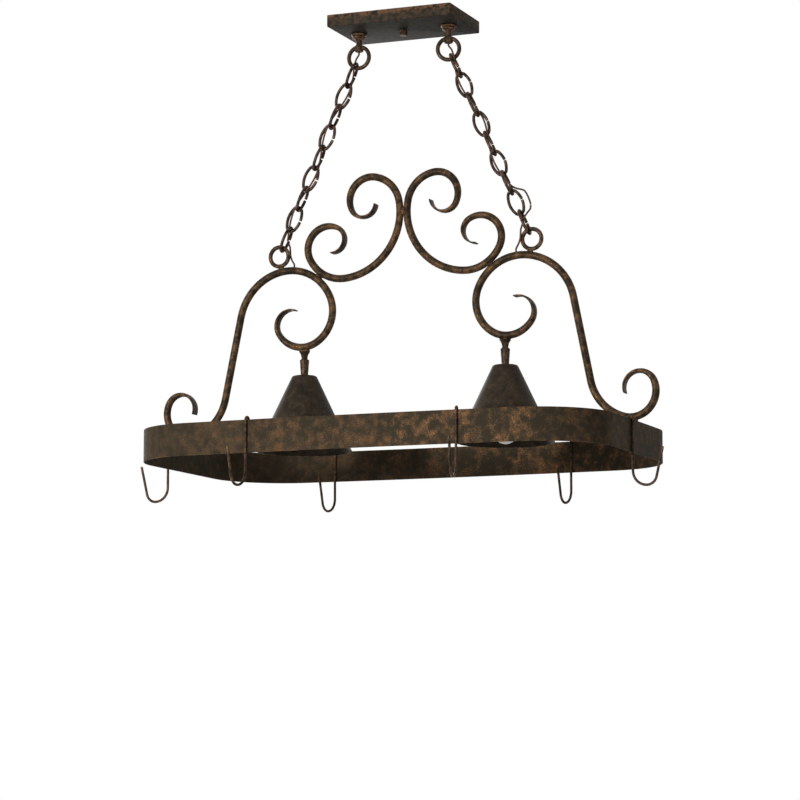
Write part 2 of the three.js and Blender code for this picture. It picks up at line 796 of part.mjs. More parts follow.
const upperHinge = firstLinkTop + linkInnerLength + linkWireRadius; // first link's lower wire
const lowerHinge = lastLinkTop - linkWireRadius; // last link's upper wire
function makeCord({ name, sign }) {
  const neckEnd = loopZ + loopRadius - bossInsideRing;
  const upper = [
    new THREE.Vector3((sign * loopSpacing) / 2, 0, neckEnd - gap),
    new THREE.Vector3((sign * loopSpacing) / 2 + sign * 0.5, -sign * 0.6, neckEnd - 4),
    besideChain(sign, 3, 4.6, 2.4),
    besideChain(sign, 10, 5, 4),
    besideChain(sign, 18, 4.5, 5.2),
    ...woundPoints(sign, 27, upperHinge - cordPieceGap / 2, 4),
  ];
  const middleLength = lowerHinge - upperHinge;
  const middlePoints = Math.round(middleLength / (linkPitch / 6)) + 1;
  const middle = woundPoints(sign, upperHinge + cordPieceGap / 2, lowerHinge - cordPieceGap / 2, middlePoints);

  const entryDrop = innerCurlRadii[0] - Math.sqrt(innerCurlRadii[0] ** 2 - cordEntryInset ** 2);
  const entryX = crown.x - cordEntryInset - scrollRingCentre.x;
  const entryZ = crown.z - entryDrop + rodRadius + cordEndGap - scrollRingCentre.z;
  const lower = [
    ...woundPoints(sign, lowerHinge + cordPieceGap / 2, lowerHinge + linkInnerLength / 2 + linkWireRadius, 5),
    besideRing(sign, -16, 15, 6.4),
    besideRing(sign, -17.2, 1, 5.9),
    besideRing(sign, -21.5, entryZ + 10, 4),
    besideRing(sign, entryX, entryZ + 4, 0.6),
    besideRing(sign, entryX, entryZ, 0),
  ];
  place(rack, `supply_cord_${name}_top`, cordTube(upper, 10), brownCord);
  place(rack, `supply_cord_${name}_middle`, cordTube(middle, 44), brownCord);
  place(rack, `supply_cord_${name}_bottom`, cordTube(lower, 14), brownCord);
}

// ---- assembly ----

makeCanopy();
const frame = new THREE.Group();
frame.position.z = bandTop;
rack.add(frame);
makeBand(frame);
makeHooks(frame);
for (const side of sides) {
  makeLoop(side);
  makeChain(side);
  makeScrolls(frame, side);
  makeDownlight(frame, side);
  makeCord(side);
}

export default rack;
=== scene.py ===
# Hanging pot rack with two downlights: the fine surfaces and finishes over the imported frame.
# Meshes are built in millimetres in the frame's own axes and stored in metres.
import math

import bmesh
import bpy
from mathutils import Matrix, Vector, noise


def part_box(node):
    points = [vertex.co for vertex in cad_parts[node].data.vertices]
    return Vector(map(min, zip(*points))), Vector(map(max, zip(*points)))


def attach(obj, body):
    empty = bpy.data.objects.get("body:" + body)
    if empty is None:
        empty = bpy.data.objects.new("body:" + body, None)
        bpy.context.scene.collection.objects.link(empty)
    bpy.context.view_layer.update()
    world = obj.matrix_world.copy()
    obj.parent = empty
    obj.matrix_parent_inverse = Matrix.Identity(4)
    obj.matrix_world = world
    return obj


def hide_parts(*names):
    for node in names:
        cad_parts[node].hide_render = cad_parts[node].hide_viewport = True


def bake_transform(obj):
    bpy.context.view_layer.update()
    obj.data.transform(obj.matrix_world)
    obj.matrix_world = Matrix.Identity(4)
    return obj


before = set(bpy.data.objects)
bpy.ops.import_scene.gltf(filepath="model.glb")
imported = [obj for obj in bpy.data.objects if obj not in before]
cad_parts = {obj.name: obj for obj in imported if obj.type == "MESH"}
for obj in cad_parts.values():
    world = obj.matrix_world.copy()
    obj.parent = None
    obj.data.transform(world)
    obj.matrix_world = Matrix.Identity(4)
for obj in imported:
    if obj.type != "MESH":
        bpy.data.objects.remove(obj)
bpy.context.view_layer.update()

millimetre = 0.001
sides = {"left": -1, "right": 1}


def nodeBox(node):
    low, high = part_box(node)
    return low / millimetre, high / millimetre


def nodeMiddle(node):
    low, high = nodeBox(node)
    return (low + high) / 2


bandLow, bandHigh = nodeBox("band")
bandTop = bandHigh.z
canopyUnder = nodeBox("canopy")[0].z
ringMiddle = nodeMiddle("scroll_ring_right")
loopLow = nodeBox("canopy_loop_left")[0].z
loopOutside = 20.9  # radius over the wire of a canopy loop's ring
loopMiddle = Vector((-nodeMiddle("canopy_loop_left").x, 0, loopLow + loopOutside))
chainLine = Vector((ringMiddle.x - loopMiddle.x, 0, ringMiddle.z - loopMiddle.z))
chainLean = math.atan2(chainLine.x, -chainLine.z)
leanDegrees = round(math.degrees(chainLean), 2)
print("frame read: band top", round(bandTop, 2), "mm, chains lean", leanDegrees, "degrees")

cameraLook = {
    "place": (1743.2, -4290.8, -530.95),  # mm, from the rack's middle at the band's top edge
    "turn": 0.3859,  # to the right of the front, radians
    "pitch": 0.1248,  # upwards, radians
    "lens": 132.84,
    "shift": -0.00435,
    "farthest": 100,  # metres
}


def makeCamera():
    data = bpy.data.cameras.new("camera")
    data.lens = cameraLook["lens"]
    data.shift_x = cameraLook["shift"]
    data.clip_end = cameraLook["farthest"]
    camera = bpy.data.objects.new("camera", data)
    bpy.context.scene.collection.objects.link(camera)
    camera.location = (Vector(cameraLook["place"]) + Vector((0, 0, bandTop))) * millimetre
    turn, pitch = cameraLook["turn"], cameraLook["pitch"]
    ahead = Vector((-math.sin(turn) * math.cos(pitch), math.cos(turn) * math.cos(pitch), math.sin(pitch)))
    camera.rotation_euler = ahead.to_track_quat("-Z", "Y").to_euler()
    bpy.context.scene.camera = camera


makeCamera()


class Reading:
    # a shader socket that takes part in sums and products
    def __init__(self, finish, socket):
        self.finish = finish
        self.socket = socket

    def math(self, operation, other, swapped=False):
        pair = [other, self] if swapped else [self, other]
        return self.finish.node("ShaderNodeMath", {"operation": operation}, dict(enumerate(pair)))

    def __add__(self, other):
        return self.math("ADD", other)

    def __radd__(self, other):
        return self.math("ADD", other, True)

    def __sub__(self, other):
        return self.math("SUBTRACT", other)

    def __rsub__(self, other):
        return self.math("SUBTRACT", other, True)

    def __mul__(self, other):
        return self.math("MULTIPLY", other)

    def __rmul__(self, other):
        return self.math("MULTIPLY", other, True)


class Finish:
    # one material's node tree, or the world's
    def __init__(self, name, holder=None):
        self.holder = holder or bpy.data.materials.new(name)
        self.holder.use_nodes = True
        self.tree = self.holder.node_tree
        self.tree.nodes.clear()

    def node(self, kind, settings=None, inputs=None, output=0):
        made = self.tree.nodes.new(kind)
        for key, value in (settings or {}).items():
            setattr(made, key, value)
        for key, value in (inputs or {}).items():
            if isinstance(value, Reading):
                self.tree.links.new(value.socket, made.inputs[key])
            elif isinstance(value, tuple) and made.inputs[key].type == "RGBA":
                made.inputs[key].default_value = (*value, 1)
            else:
                made.inputs[key].default_value = value
        return Reading(self, made.outputs[output]) if made.outputs else None

    def place(self):
        return self.node("ShaderNodeTexCoord", output="Object")

    def stretched(self, where, scale):
        return self.node("ShaderNodeMapping", {}, {"Vector": where, "Scale": scale})

    def noise(self, where, scale, detail=4, roughness=0.55):
        inputs = {"Vector": where, "Scale": scale, "Detail": detail, "Roughness": roughness}
        return self.node("ShaderNodeTexNoise", {}, inputs)

    def step(self, value, low, high):
        inputs = {"Value": value, "From Min": low, "From Max": high}
        return self.node("ShaderNodeMapRange", {"interpolation_type": "SMOOTHSTEP"}, inputs)

    def mix(self, factor, first, second):
        return self.node("ShaderNodeMix", {"data_type": "RGBA"}, {0: factor, 6: first, 7: second}, output=2)

    def across(self, where):
        return self.node("ShaderNodeSeparateXYZ", {}, {"Vector": where}, output="X")

    def edges(self, low, high):
        return self.step(self.node("ShaderNodeNewGeometry", output="Pointiness"), low, high)

    def bump(self, height, depth, strength):
        return self.node("ShaderNodeBump", {}, {"Strength": strength, "Distance": depth, "Height": height})

    def surface(self, inputs):
        shader = self.node("ShaderNodeBsdfPrincipled", {}, inputs)
        self.node("ShaderNodeOutputMaterial", {}, {"Surface": shader})
        return self.holder


# each patina: its four colours, the scales of its patches and grain, the shares that are rusty and rubbed
# bright, how metallic its bare and rubbed parts are, its roughness and its specular level
patinas = {
    "bandPatina": {
        "dark": (0.036, 0.028, 0.018), "mid": (0.056, 0.042, 0.028), "rust": (0.104, 0.053, 0.022),
        "copper": (0.32, 0.155, 0.062), "patch": 70, "grain": 900, "rustShare": 0.56, "brightShare": 0.50,
        "metal": (0.05, 0.40), "roughness": 0.60, "specular": 0.03,
    },
    "coneSkin": {
        "dark": (0.019, 0.015, 0.011), "mid": (0.042, 0.032, 0.022), "rust": (0.080, 0.042, 0.019),
        "copper": (0.27, 0.13, 0.055), "patch": 80, "grain": 620, "rustShare": 0.36, "brightShare": 0.36,
        "metal": (0.08, 0.45), "roughness": 0.52, "specular": 0.10,
    },
    "canopySkin": {
        "dark": (0.022, 0.020, 0.016), "mid": (0.039, 0.035, 0.028), "rust": (0.082, 0.034, 0.017),
        "copper": (0.22, 0.10, 0.042), "patch": 120, "grain": 420, "rustShare": 0.20, "brightShare": 0.36,
        "metal": (0.05, 0.40), "roughness": 0.50, "specular": 0.02,
    },
    "rodSkin": {
        "dark": (0.022, 0.016, 0.010), "mid": (0.064, 0.042, 0.025), "rust": (0.135, 0.064, 0.025),
        "copper": (0.40, 0.20, 0.080), "patch": 110, "grain": 620, "rustShare": 0.54, "brightShare": 0.36,
        "metal": (0.14, 0.60), "roughness": 0.42, "specular": 0.08,
    },
    "fittingSkin": {
        "dark": (0.018, 0.013, 0.009), "mid": (0.055, 0.036, 0.022), "rust": (0.130, 0.060, 0.026),
        "copper": (0.50, 0.26, 0.13), "patch": 150, "grain": 620, "rustShare": 0.46, "brightShare": 0.46,
        "metal": (0.22, 0.70), "roughness": 0.42, "specular": 0.16,
    },
    "collarSkin": {
        "dark": (0.030, 0.019, 0.012), "mid": (0.090, 0.052, 0.030), "rust": (0.200, 0.098, 0.045),
        "copper": (0.55, 0.30, 0.15), "patch": 150, "grain": 620, "rustShare": 0.60, "brightShare": 0.50,
        "metal": (0.25, 0.70), "roughness": 0.42, "specular": 0.14,
    },
    "chainSkin": {
        "dark": (0.010, 0.008, 0.007), "mid": (0.034, 0.024, 0.018), "rust": (0.085, 0.042, 0.022),
        "copper": (0.34, 0.18, 0.10), "patch": 160, "grain": 620, "rustShare": 0.38, "brightShare": 0.40,
        "metal": (0.20, 0.70), "roughness": 0.38, "specular": 0.18,
    },
    "hookSkin": {
        "dark": (0.018, 0.013, 0.009), "mid": (0.052, 0.034, 0.020), "rust": (0.105, 0.055, 0.026),
        "copper": (0.30, 0.16, 0.08), "patch": 120, "grain": 520, "rustShare": 0.50, "brightShare": 0.44,
        "metal": (0.15, 0.60), "roughness": 0.42, "specular": 0.10,
    },
}
# what all of them share: levels and ranges of the masks, which run from 0 to 1
weather = {
    "cloud": 12,  # scale
    "shadeShares": (0.25, 0.4, 0.35),  # of cloud, patch and grain
    "shadeRange": (0.42, 0.58),
    "rustShares": (0.12, 0.48, 0.4),
    "rustLevel": 0.64,
    "rustDrop": 0.28,  # how far a whole share lowers the level
    "rustFade": 0.16,
    "rustCover": 0.8,
    "brightLevel": 0.70,
    "brightDrop": 0.3,
    "brightFade": 0.09,
    "brightCover": 0.7,
    "edgeRange": (0.508, 0.58),  # of pointiness
    "edgePatch": (0.40, 0.60),
    "edgeCover": 0.8,
    "roughGrain": 0.24,
    "smoothBright": 0.06,
    "tint": (0.75, 0.62, 0.50),
    "bump": (0.0005, 0.55),  # depth in metres, strength
}
# rust that grows from the left end, and a painted highlight that lifts the copper flecks towards the right
# corner
bandRustAndHighlight = {  # along x, in metres
    "leastRust": 0.35,
    "rustRise": (-0.36, -0.06),
    "rubbed": 0.06,
    "highlightRise": (0.02, 0.12),
    "highlightFall": (0.27, 0.35),
}
# painted shade and painted reflection of the collars and the nut, darkening the canopy's underside round
# them
canopyCollarShade = {
    "collarReach": 24,
    "nutReach": 12,
    "core": 0.6,  # the share of a reach that is darkest
    "cover": 0.85,
    "colour": (0.008, 0.007, 0.006),
}


def patina(name):
    look = patinas[name]
    finish = Finish(name)
    where = finish.place()
    cloud = finish.noise(where, weather["cloud"], detail=2)
    patch = finish.noise(where, look["patch"], detail=3)
    grain = finish.noise(where, look["grain"], roughness=0.7)

    def blended(shares):
        return shares[0] * cloud + shares[1] * patch + shares[2] * grain

    shade = finish.step(blended(weather["shadeShares"]), *weather["shadeRange"])
    rustFrom = weather["rustLevel"] - weather["rustDrop"] * look["rustShare"]
    rusty = finish.step(blended(weather["rustShares"]), rustFrom, rustFrom + weather["rustFade"])
    highlightLift = 0
    if name == "bandPatina":
        # least rust at the left end; between the middle and the right corner the copper flecks are lifted
        # as a painted highlight
        along = finish.across(where)
        least = bandRustAndHighlight["leastRust"]
        rusty = rusty * (least + (1 - least) * finish.step(along, *bandRustAndHighlight["rustRise"]))
        highlightLift = bandRustAndHighlight["rubbed"] * finish.step(along, *bandRustAndHighlight["highlightRise"])
        highlightLift = highlightLift * (1 - finish.step(along, *bandRustAndHighlight["highlightFall"]))
    brightFrom = weather["brightLevel"] - weather["brightDrop"] * look["brightShare"]
    bright = rusty * finish.step(grain + highlightLift, brightFrom, brightFrom + weather["brightFade"])
    worn = finish.edges(*weather["edgeRange"]) * finish.step(patch, *weather["edgePatch"])
    colour = finish.mix(shade, look["dark"], look["mid"])
    colour = finish.mix(weather["rustCover"] * rusty, colour, look["rust"])
    shiny = (weather["brightCover"] * bright).math("MAXIMUM", weather["edgeCover"] * worn)
    colour = finish.mix(shiny, colour, look["copper"])
    if name == "canopySkin":
        # painted shade and reflection round the collars and the nut
        paintedShade = canopyCollarShade["cover"] * roundCollars(finish, where)
        colour = finish.mix(paintedShade, colour, canopyCollarShade["colour"])
    bare, rubbed = look["metal"]
    roughness = look["roughness"] + weather["roughGrain"] * (grain - 0.5)
    return finish.surface({
        "Base Color": colour,
        "Metallic": bare + (rubbed - bare) * bright,
        "Roughness": roughness - weather["smoothBright"] * bright,
        "Specular IOR Level": look["specular"],
        "Specular Tint": weather["tint"],
        "Normal": finish.bump(0.5 * patch + 0.5 * grain, *weather["bump"]),
    })


def roundCollars(finish, where):
    # 1 close to the collars and the nut, where their shade and dark reflection on the canopy's underside
    # are painted
    near = 0
    collar, nut = canopyCollarShade["collarReach"], canopyCollarShade["nutReach"]
    for x, reach in ((-loopMiddle.x, collar), (0, nut), (loopMiddle.x, collar)):
        spot = (x * millimetre, 0, canopyUnder * millimetre)
        settings = {"operation": "DISTANCE"}
        distance = finish.node("ShaderNodeVectorMath", settings, {0: where, 1: spot}, output="Value")
        core = canopyCollarShade["core"] * reach * millimetre
        near = near + (1 - finish.step(distance, core, reach * millimetre))
    return near


# the other finishes are two colours in a cloud: roughness is its least and what the cloud adds, and bumps
# are their scale, depth in metres and strength
cloudedLooks = {
    "cordSheath": {
        "scale": 70, "detail": 3, "colours": ((0.060, 0.029, 0.019), (0.125, 0.060, 0.038)),
        "roughness": (0.48, 0.12), "specular": 0.2, "bumps": (600, 0.0001, 0.3),
    },
    "porcelain": {
        "scale": 40, "detail": 4, "colours": ((0.66, 0.64, 0.58), (0.80, 0.78, 0.72)),
        "roughness": (0.18, 0.15), "specular": 0.5, "bumps": None,
    },
    "frostedGlass": {
        "scale": 30, "detail": 3, "colours": ((0.80, 0.79, 0.75), (0.90, 0.89, 0.86)),
        "roughness": (0.34, 0.1), "specular": 0.5, "bumps": (900, 0.00005, 0.2),
    },
}
steelLook = {
    "cloud": 90,
    "colours": ((0.42, 0.42, 0.40), (0.62, 0.62, 0.60)),
    "scratches": (160, (1, 12, 1)),  # scale, and the stretch along x, y and z
    "roughness": (0.28, 0.2),
    "bump": (0.0002, 0.3),
}


def clouded(name):
    look = cloudedLooks[name]
    finish = Finish(name)
    where = finish.place()
    cloud = finish.noise(where, look["scale"], detail=look["detail"])
    least, added = look["roughness"]
    inputs = {
        "Base Color": finish.mix(cloud, *look["colours"]),
        "Roughness": least + added * cloud,
        "Specular IOR Level": look["specular"],
    }
    if look["bumps"]:
        scale, depth, strength = look["bumps"]
        inputs["Normal"] = finish.bump(finish.noise(where, scale, detail=2), depth, strength)
    return finish.surface(inputs)


def plainSteel():
    look = steelLook
    finish = Finish("plainSteel")
    where = finish.place()
    cloud = finish.noise(where, look["cloud"])
    scale, stretch = look["scratches"]
    scratch = finish.noise(finish.stretched(where, stretch), scale, detail=3)
    least, added = look["roughness"]
    return finish.surface({
        "Base Color": finish.mix(cloud, *look["colours"]),
        "Metallic": 1.0,
        "Roughness": least + added * scratch,
        "Normal": finish.bump(scratch, *look["bump"]),
    })


finishes = {name: patina(name) for name in patinas}
finishes["plainSteel"] = plainSteel()
finishes.update({name: clouded(name) for name in cloudedLooks})
print("finishes made:", len(finishes))

sharpFrom = 38  # degrees between two faces; their edge is sharp above it


def addPiece(name, vertices, faces, finish, sharpAngle=sharpFrom):
    # normals outwards, smooth but for sharp edges
    mesh = bpy.data.meshes.new(name)
    mesh.from_pydata([Vector(v) * millimetre for v in vertices], [], faces)
    work = bmesh.new()
    work.from_mesh(mesh)
    bmesh.ops.recalc_face_normals(work, faces=work.faces)
    work.to_mesh(mesh)
    work.free()
    mesh.shade_smooth()
    mesh.set_sharp_from_angle(angle=math.radians(sharpAngle))
    mesh.materials.append(finishes[finish])
    piece = bpy.data.objects.new(name, mesh)
    bpy.context.scene.collection.objects.link(piece)
    return piece


def standFor(piece, node, body):
    if node:
        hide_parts(node)
    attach(piece, body)


def addPart(node, ending, skin, finish, body, sharpAngle=sharpFrom):
    # a piece that stands for a node of the frame
    standFor(addPiece(f"{node}_{ending}", *skin, finish, sharpAngle), node, body)


def loft(rings, joined=False):
    # skin over rings that have the same number of points
    count = len(rings[0])
    vertices = [point for ring in rings for point in ring]
    faces = []
    for i in range(len(rings) - (0 if joined else 1)):
        j = (i + 1) % len(rings)
        for k in range(count):
            n = (k + 1) % count
            faces.append((i * count + k, i * count + n, j * count + n, j * count + k))
    if not joined:
        faces.append(tuple(reversed(range(count))))
        faces.append(tuple(range(len(vertices) - count, len(vertices))))
    return vertices, faces


def turnAngles(count):
    return [2 * math.pi * k / count for k in range(count)]


def roundSection(centre, across, upright, half, wide, power, sidesRound):
    # an ellipse, squarer as power rises above 2
    ring = []
    for angle in turnAngles(sidesRound):
        c, s = math.cos(angle), math.sin(angle)
        a = math.copysign(abs(c) ** (2 / power), c) * wide
        b = math.copysign(abs(s) ** (2 / power), s) * half
        ring.append(centre + across * a + upright * b)
    return ring


def sweep(points, section, across, sidesRound=18, endRound=0.0, closed=False):
    # skin along points; section gives half thickness, half width and squareness at a distance from the
    # nearer end, and across is the way of the width at the start
    points = [Vector(p) for p in points]
    count = len(points)

    def near(i):
        return points[i % count] if closed else points[min(max(i, 0), count - 1)]

    tangents = [(near(i + 1) - near(i - 1)).normalized() for i in range(count)]
    distances = [0.0]
    for i in range(1, count):
        distances.append(distances[-1] + (points[i] - points[i - 1]).length)
    length = distances[-1]
    turned = [Vector(across)]
    turned[0] = (turned[0] - tangents[0] * turned[0].dot(tangents[0])).normalized()
    for i in range(1, count):
        carried = tangents[i - 1].rotation_difference(tangents[i]) @ turned[i - 1]
        turned.append((carried - tangents[i] * carried.dot(tangents[i])).normalized())

    def ringAt(i, shift=0.0, inset=0.0):
        half, wide, power = section(min(distances[i], length - distances[i]))
        upright = tangents[i].cross(turned[i])
        centre = points[i] + tangents[i] * shift
        return roundSection(centre, turned[i], upright, half - inset, wide - inset, power, sidesRound)

    if closed:
        return loft([ringAt(i) for i in range(count)], joined=True)
    steps = 4
    ends = [(endRound * (1 - math.cos(a)), endRound * (1 - math.sin(a)))
            for a in (math.pi / 2 * k / steps for k in range(steps))]
    middle = [i for i in range(count) if endRound <= distances[i] <= length - endRound]
    rings = [ringAt(0, shift, inset) for shift, inset in ends] if endRound else []
    rings += [ringAt(i) for i in middle]
    if endRound:
        rings += [ringAt(count - 1, -shift, inset) for shift, inset in reversed(ends)]
    return loft(rings)


def wireSkin(points, radius, across, **more):
    # skin of a round wire along points
    return sweep(points, lambda fromEnd: (radius, radius, 2), across, **more)


def ringPath(radius, count):
    # points round a circle that stands in the scrolls' plane
    return [radius * Vector((math.cos(a), 0, math.sin(a))) for a in turnAngles(count)]


def bentPath(start, heading, runs, step=4.0, straightStep=6.0):
    # points of a planar path of straight pieces and arcs; a turn is positive to the left
    x, z = start
    angle = math.radians(heading)
    points = [(x, z)]
    for radius, turn in runs:
        if radius == 0:
            pieces = max(1, round(turn / straightStep))
            for k in range(pieces):
                x += turn / pieces * math.cos(angle)
                z += turn / pieces * math.sin(angle)
                points.append((x, z))
            continue
        side = math.copysign(1, turn)
        centre = (x - side * radius * math.sin(angle), z + side * radius * math.cos(angle))
        pieces = max(1, round(abs(turn) / step))
        for k in range(1, pieces + 1):
            at = angle + math.radians(turn) * k / pieces
            x = centre[0] + side * radius * math.sin(at)
            z = centre[1] - side * radius * math.cos(at)
            points.append((x, z))
        angle += math.radians(turn)
    return points


def eased(profile, radius, steps=4, closed=False):
    # rounds the corners of a profile
    made = []
    count = len(profile)
    for i, corner in enumerate(profile):
        here = Vector(corner)
        if not closed and i in (0, count - 1):
            made.append(here)
            continue
        before, after = Vector(profile[i - 1]), Vector(profile[(i + 1) % count])
        share = 0.45  # the most that a corner takes of a side
        reach = min(radius, (before - here).length * share, (after - here).length * share)
        start = here + (before - here).normalized() * reach
        end = here + (after - here).normalized() * reach
        for k in range(steps + 1):
            t = k / steps
            made.append(start * (1 - t) ** 2 + here * 2 * t * (1 - t) + end * t ** 2)
    return made


def turnedSkin(profile, centre, segments, closed=False, radial=None):
    # a profile of (radius, height) turned about the vertical through centre
    centre = Vector(centre)
    vertices, faces, starts = [], [], []
    for radius, height in profile:
        pole = radius < 1e-6
        starts.append((len(vertices), pole))
        for angle in turnAngles(segments)[:1 if pole else segments]:
            grown = radius * (radial(angle, height) if radial else 1)
            vertices.append(centre + Vector((grown * math.cos(angle), grown * math.sin(angle), height)))
    pairs = list(zip(starts, starts[1:] + (starts[:1] if closed else [])))
    if not closed:
        pairs = pairs[:len(profile) - 1]
    for (first, firstPole), (second, secondPole) in pairs:
        for k in range(segments):
            n = (k + 1) % segments
            if firstPole:
                faces.append((first, second + k, second + n))
            elif secondPole:
                faces.append((first + k, first + n, second))
            else:
                faces.append((first + k, first + n, second + n, second + k))
    return vertices, faces


def addTurned(node, ending, profile, x, segments, finish, body, slot, sharpAngle=sharpFrom, **more):
    # a piece that is turned about the vertical at x and stands for a node
    addPart(node, ending, turnedSkin(profile, (x, 0, 0), segments, **more), finish, body, sharpAngle)


def joinedSkins(first, second):
    # two skins as one, the second's points after the first's
    offset = len(first[0])
    moved = [tuple(i + offset for i in face) for face in second[1]]
    return list(first[0]) + list(second[0]), list(first[1]) + moved


def placed(points, matrix):
    # planar (x, z) points as points in space
    return [matrix @ Vector((x, 0, z)) for x, z in points]


def settle(piece):
    # applies the piece's modifiers
    graph = bpy.context.evaluated_depsgraph_get()
    mesh = bpy.data.meshes.new_from_object(piece.evaluated_get(graph))
    piece.modifiers.clear()
    piece.data = mesh


cordLook = {
    "radius": 1.5,
    "wrapRadius": 5.9,
    "rightBulge": 16,
    "bulgeReach": (0.6, 0.74),  # above and below the loop's middle, in links
    "hold": (0.3, 0.6),  # how far from there the cord doesn't wind, in links
    "entryInset": 14.7,
    "endGap": 1.1,
    "pieceGap": 0.8,
    "step": 1.2,
    "evening": (5, 2),  # points to each side, rounds
    "neckExit": (0.5, 0.6, 4),  # outward, aside, down from the neck's end
    "belowNeck": [(3, 4.6, 2.4), (10, 5, 4), (18, 4.5, 5.2)],  # along the chain, outward, aside
    "windFrom": 27,
    "besideRing": [(-16, 15, 6.4), (-17.2, 1, 5.9)],  # outward, above, aside
    "aboveEntry": [(-21.5, 10, 4), (None, 4, 0.6), (None, 0, 0)],  # None is straight above it
    "endRound": 0.3,
}
chainLook = {
    "links": 9,
    "wireRadius": 2.5,
    "innerLength": 35.98,
    "innerWidth": 17,
    "endRadius": 8,
    "opening": 1.8,
    "firstTop": 13.2,
    "pitch": 35.68,
    "lastSlack": 0.5,
    "endRound": 0.6,
}
loopLook = {
    "radius": 17.5,
    "wire": 3.4,
    "rightYaw": 10,
    "neckRadius": 4.6,
    "bossRadius": 7.2,
    "bossInside": 8.7,  # below the ring wire's middle
    "boreRadius": 2.2,
    "edge": 0.8,
    "voxel": 0.45,
    "smoothing": (0.5, 5),  # factor, rounds
}
gap = 0.3


def linkTop(number):
    slack = chainLook["lastSlack"] if number == chainLook["links"] else 0
    return chainLook["firstTop"] + (number - 1) * chainLook["pitch"] - slack


# outward is away from the rack's middle, aside is to the back on the left and to the front on the right
def besideChain(sign, along, outward, aside):
    x = loopMiddle.x + along * math.sin(chainLean) + outward * math.cos(chainLean)
    z = loopMiddle.z - along * math.cos(chainLean) + outward * math.sin(chainLean)
    return Vector((sign * x, -sign * aside, z))


def besideRing(sign, outward, above, aside):
    return Vector((sign * (ringMiddle.x + outward), -sign * aside, ringMiddle.z + above))


def woundPoint(sign, along):
    # a quarter turn for each link; the right cord stands off in a loop beside the last link but one
    look = cordLook
    links = (along - chainLook["firstTop"] - chainLook["innerLength"] / 2) / chainLook["pitch"]
    fromLoop = links - (chainLook["links"] - 2)
    radius = look["wrapRadius"]
    quarters = links + 1
    if sign > 0:
        way = 0 if fromLoop < 0 else 1
        radius += look["rightBulge"] * math.exp(-(fromLoop / look["bulgeReach"][way]) ** 4)
        if abs(fromLoop) < 1:
            hold = look["hold"][way]
            beyondHold = max(0, abs(fromLoop) - hold) / (1 - hold)
            quarters += math.copysign(beyondHold, fromLoop) - fromLoop
    angle = math.pi / 2 * quarters
    return besideChain(sign, along, radius * math.cos(angle), radius * math.sin(angle))


def woundPoints(sign, start, end, count):
    return [woundPoint(sign, start + (end - start) * k / (count - 1)) for k in range(count)]


def smoothRoute(points, step):
    # centripetal curve through the points, at about even steps
    points = [points[0] * 2 - points[1], *points, points[-1] * 2 - points[-2]]
    route = []
    for i in range(1, len(points) - 2):
        p = points[i - 1:i + 3]
        knots = [0.0]
        for a, b in zip(p, p[1:]):
            knots.append(knots[-1] + max((b - a).length, 1e-6) ** 0.5)
        pieces = max(1, math.ceil((p[2] - p[1]).length / step))
        for k in range(pieces):
            t = knots[1] + (knots[2] - knots[1]) * k / pieces
            row = p
            for level in (1, 2, 3):
                nearer = []
                for j in range(len(row) - 1):
                    first, last = knots[j], knots[j + level]
                    nearer.append((row[j] * (last - t) + row[j + 1] * (t - first)) / (last - first))
                row = nearer
            route.append(row[0])
    route.append(points[-2])
    return route


def relaxed(route, reach, rounds):
    # evens out the bends, with the ends held
    for k in range(rounds):
        spans = [min(reach, i, len(route) - 1 - i) for i in range(len(route))]
        route = [sum(route[i - s:i + s + 1], Vector()) / (2 * s + 1) for i, s in enumerate(spans)]
    return route


def makeCord(name, sign):
    upperHinge = chainLook["firstTop"] + chainLook["innerLength"] + chainLook["wireRadius"]
    lowerHinge = linkTop(chainLook["links"]) - chainLook["wireRadius"]
    neckEnd = loopMiddle.z + loopLook["radius"] - loopLook["bossInside"]
    firstRadius = scrollLook["innerCurl"][0][0]
    inset = cordLook["entryInset"]
    entryDrop = firstRadius - math.sqrt(firstRadius ** 2 - inset ** 2)
    entryX = crownX - inset - ringMiddle.x
    entryZ = bandTop + scrollLook["crownHeight"] - entryDrop
    entryZ += scrollLook["rodRadius"] + cordLook["endGap"] - ringMiddle.z
    outward, aside, down = cordLook["neckExit"]
    half = cordLook["pieceGap"] / 2
    middleCount = round((lowerHinge - upperHinge) / (chainLook["pitch"] / 6)) + 1
    lastMiddle = lowerHinge + chainLook["innerLength"] / 2 + chainLook["wireRadius"]
    routes = {
        "top": [
            Vector((sign * loopMiddle.x, 0, neckEnd - gap)),
            Vector((sign * (loopMiddle.x + outward), -sign * aside, neckEnd - down)),
            *(besideChain(sign, *point) for point in cordLook["belowNeck"]),
            *woundPoints(sign, cordLook["windFrom"], upperHinge - half, 4),
        ],
        "middle": woundPoints(sign, upperHinge + half, lowerHinge - half, middleCount),
        "bottom": [
            *woundPoints(sign, lowerHinge + half, lastMiddle, 5),
            *(besideRing(sign, *point) for point in cordLook["besideRing"]),
            *(besideRing(sign, x or entryX, entryZ + up, y) for x, up, y in cordLook["aboveEntry"]),
        ],
    }
    radius = cordLook["radius"]
    for part, points in routes.items():
        route = smoothRoute(points, cordLook["step"])
        if part == "middle":
            route = relaxed(route, *cordLook["evening"])
        skin = wireSkin(route, radius, (0.3, 1, 0.2), sidesRound=14, endRound=cordLook["endRound"])
        node = f"supply_cord_{name}_{part}"
        piece = addPiece(f"{node}_sheath", *skin, "cordSheath")
        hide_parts(node)
        if part == "top":
            route[0] * millimetre
            points[3] * millimetre
            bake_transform(piece)
        elif part == "middle":
            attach(piece, f"{name}_chain")
        else:
            points[5] * millimetre
            route[-1] * millimetre
            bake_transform(piece)
        path = [p * millimetre for p in route]
        length = sum((b - a).length for a, b in zip(path, path[1:]))


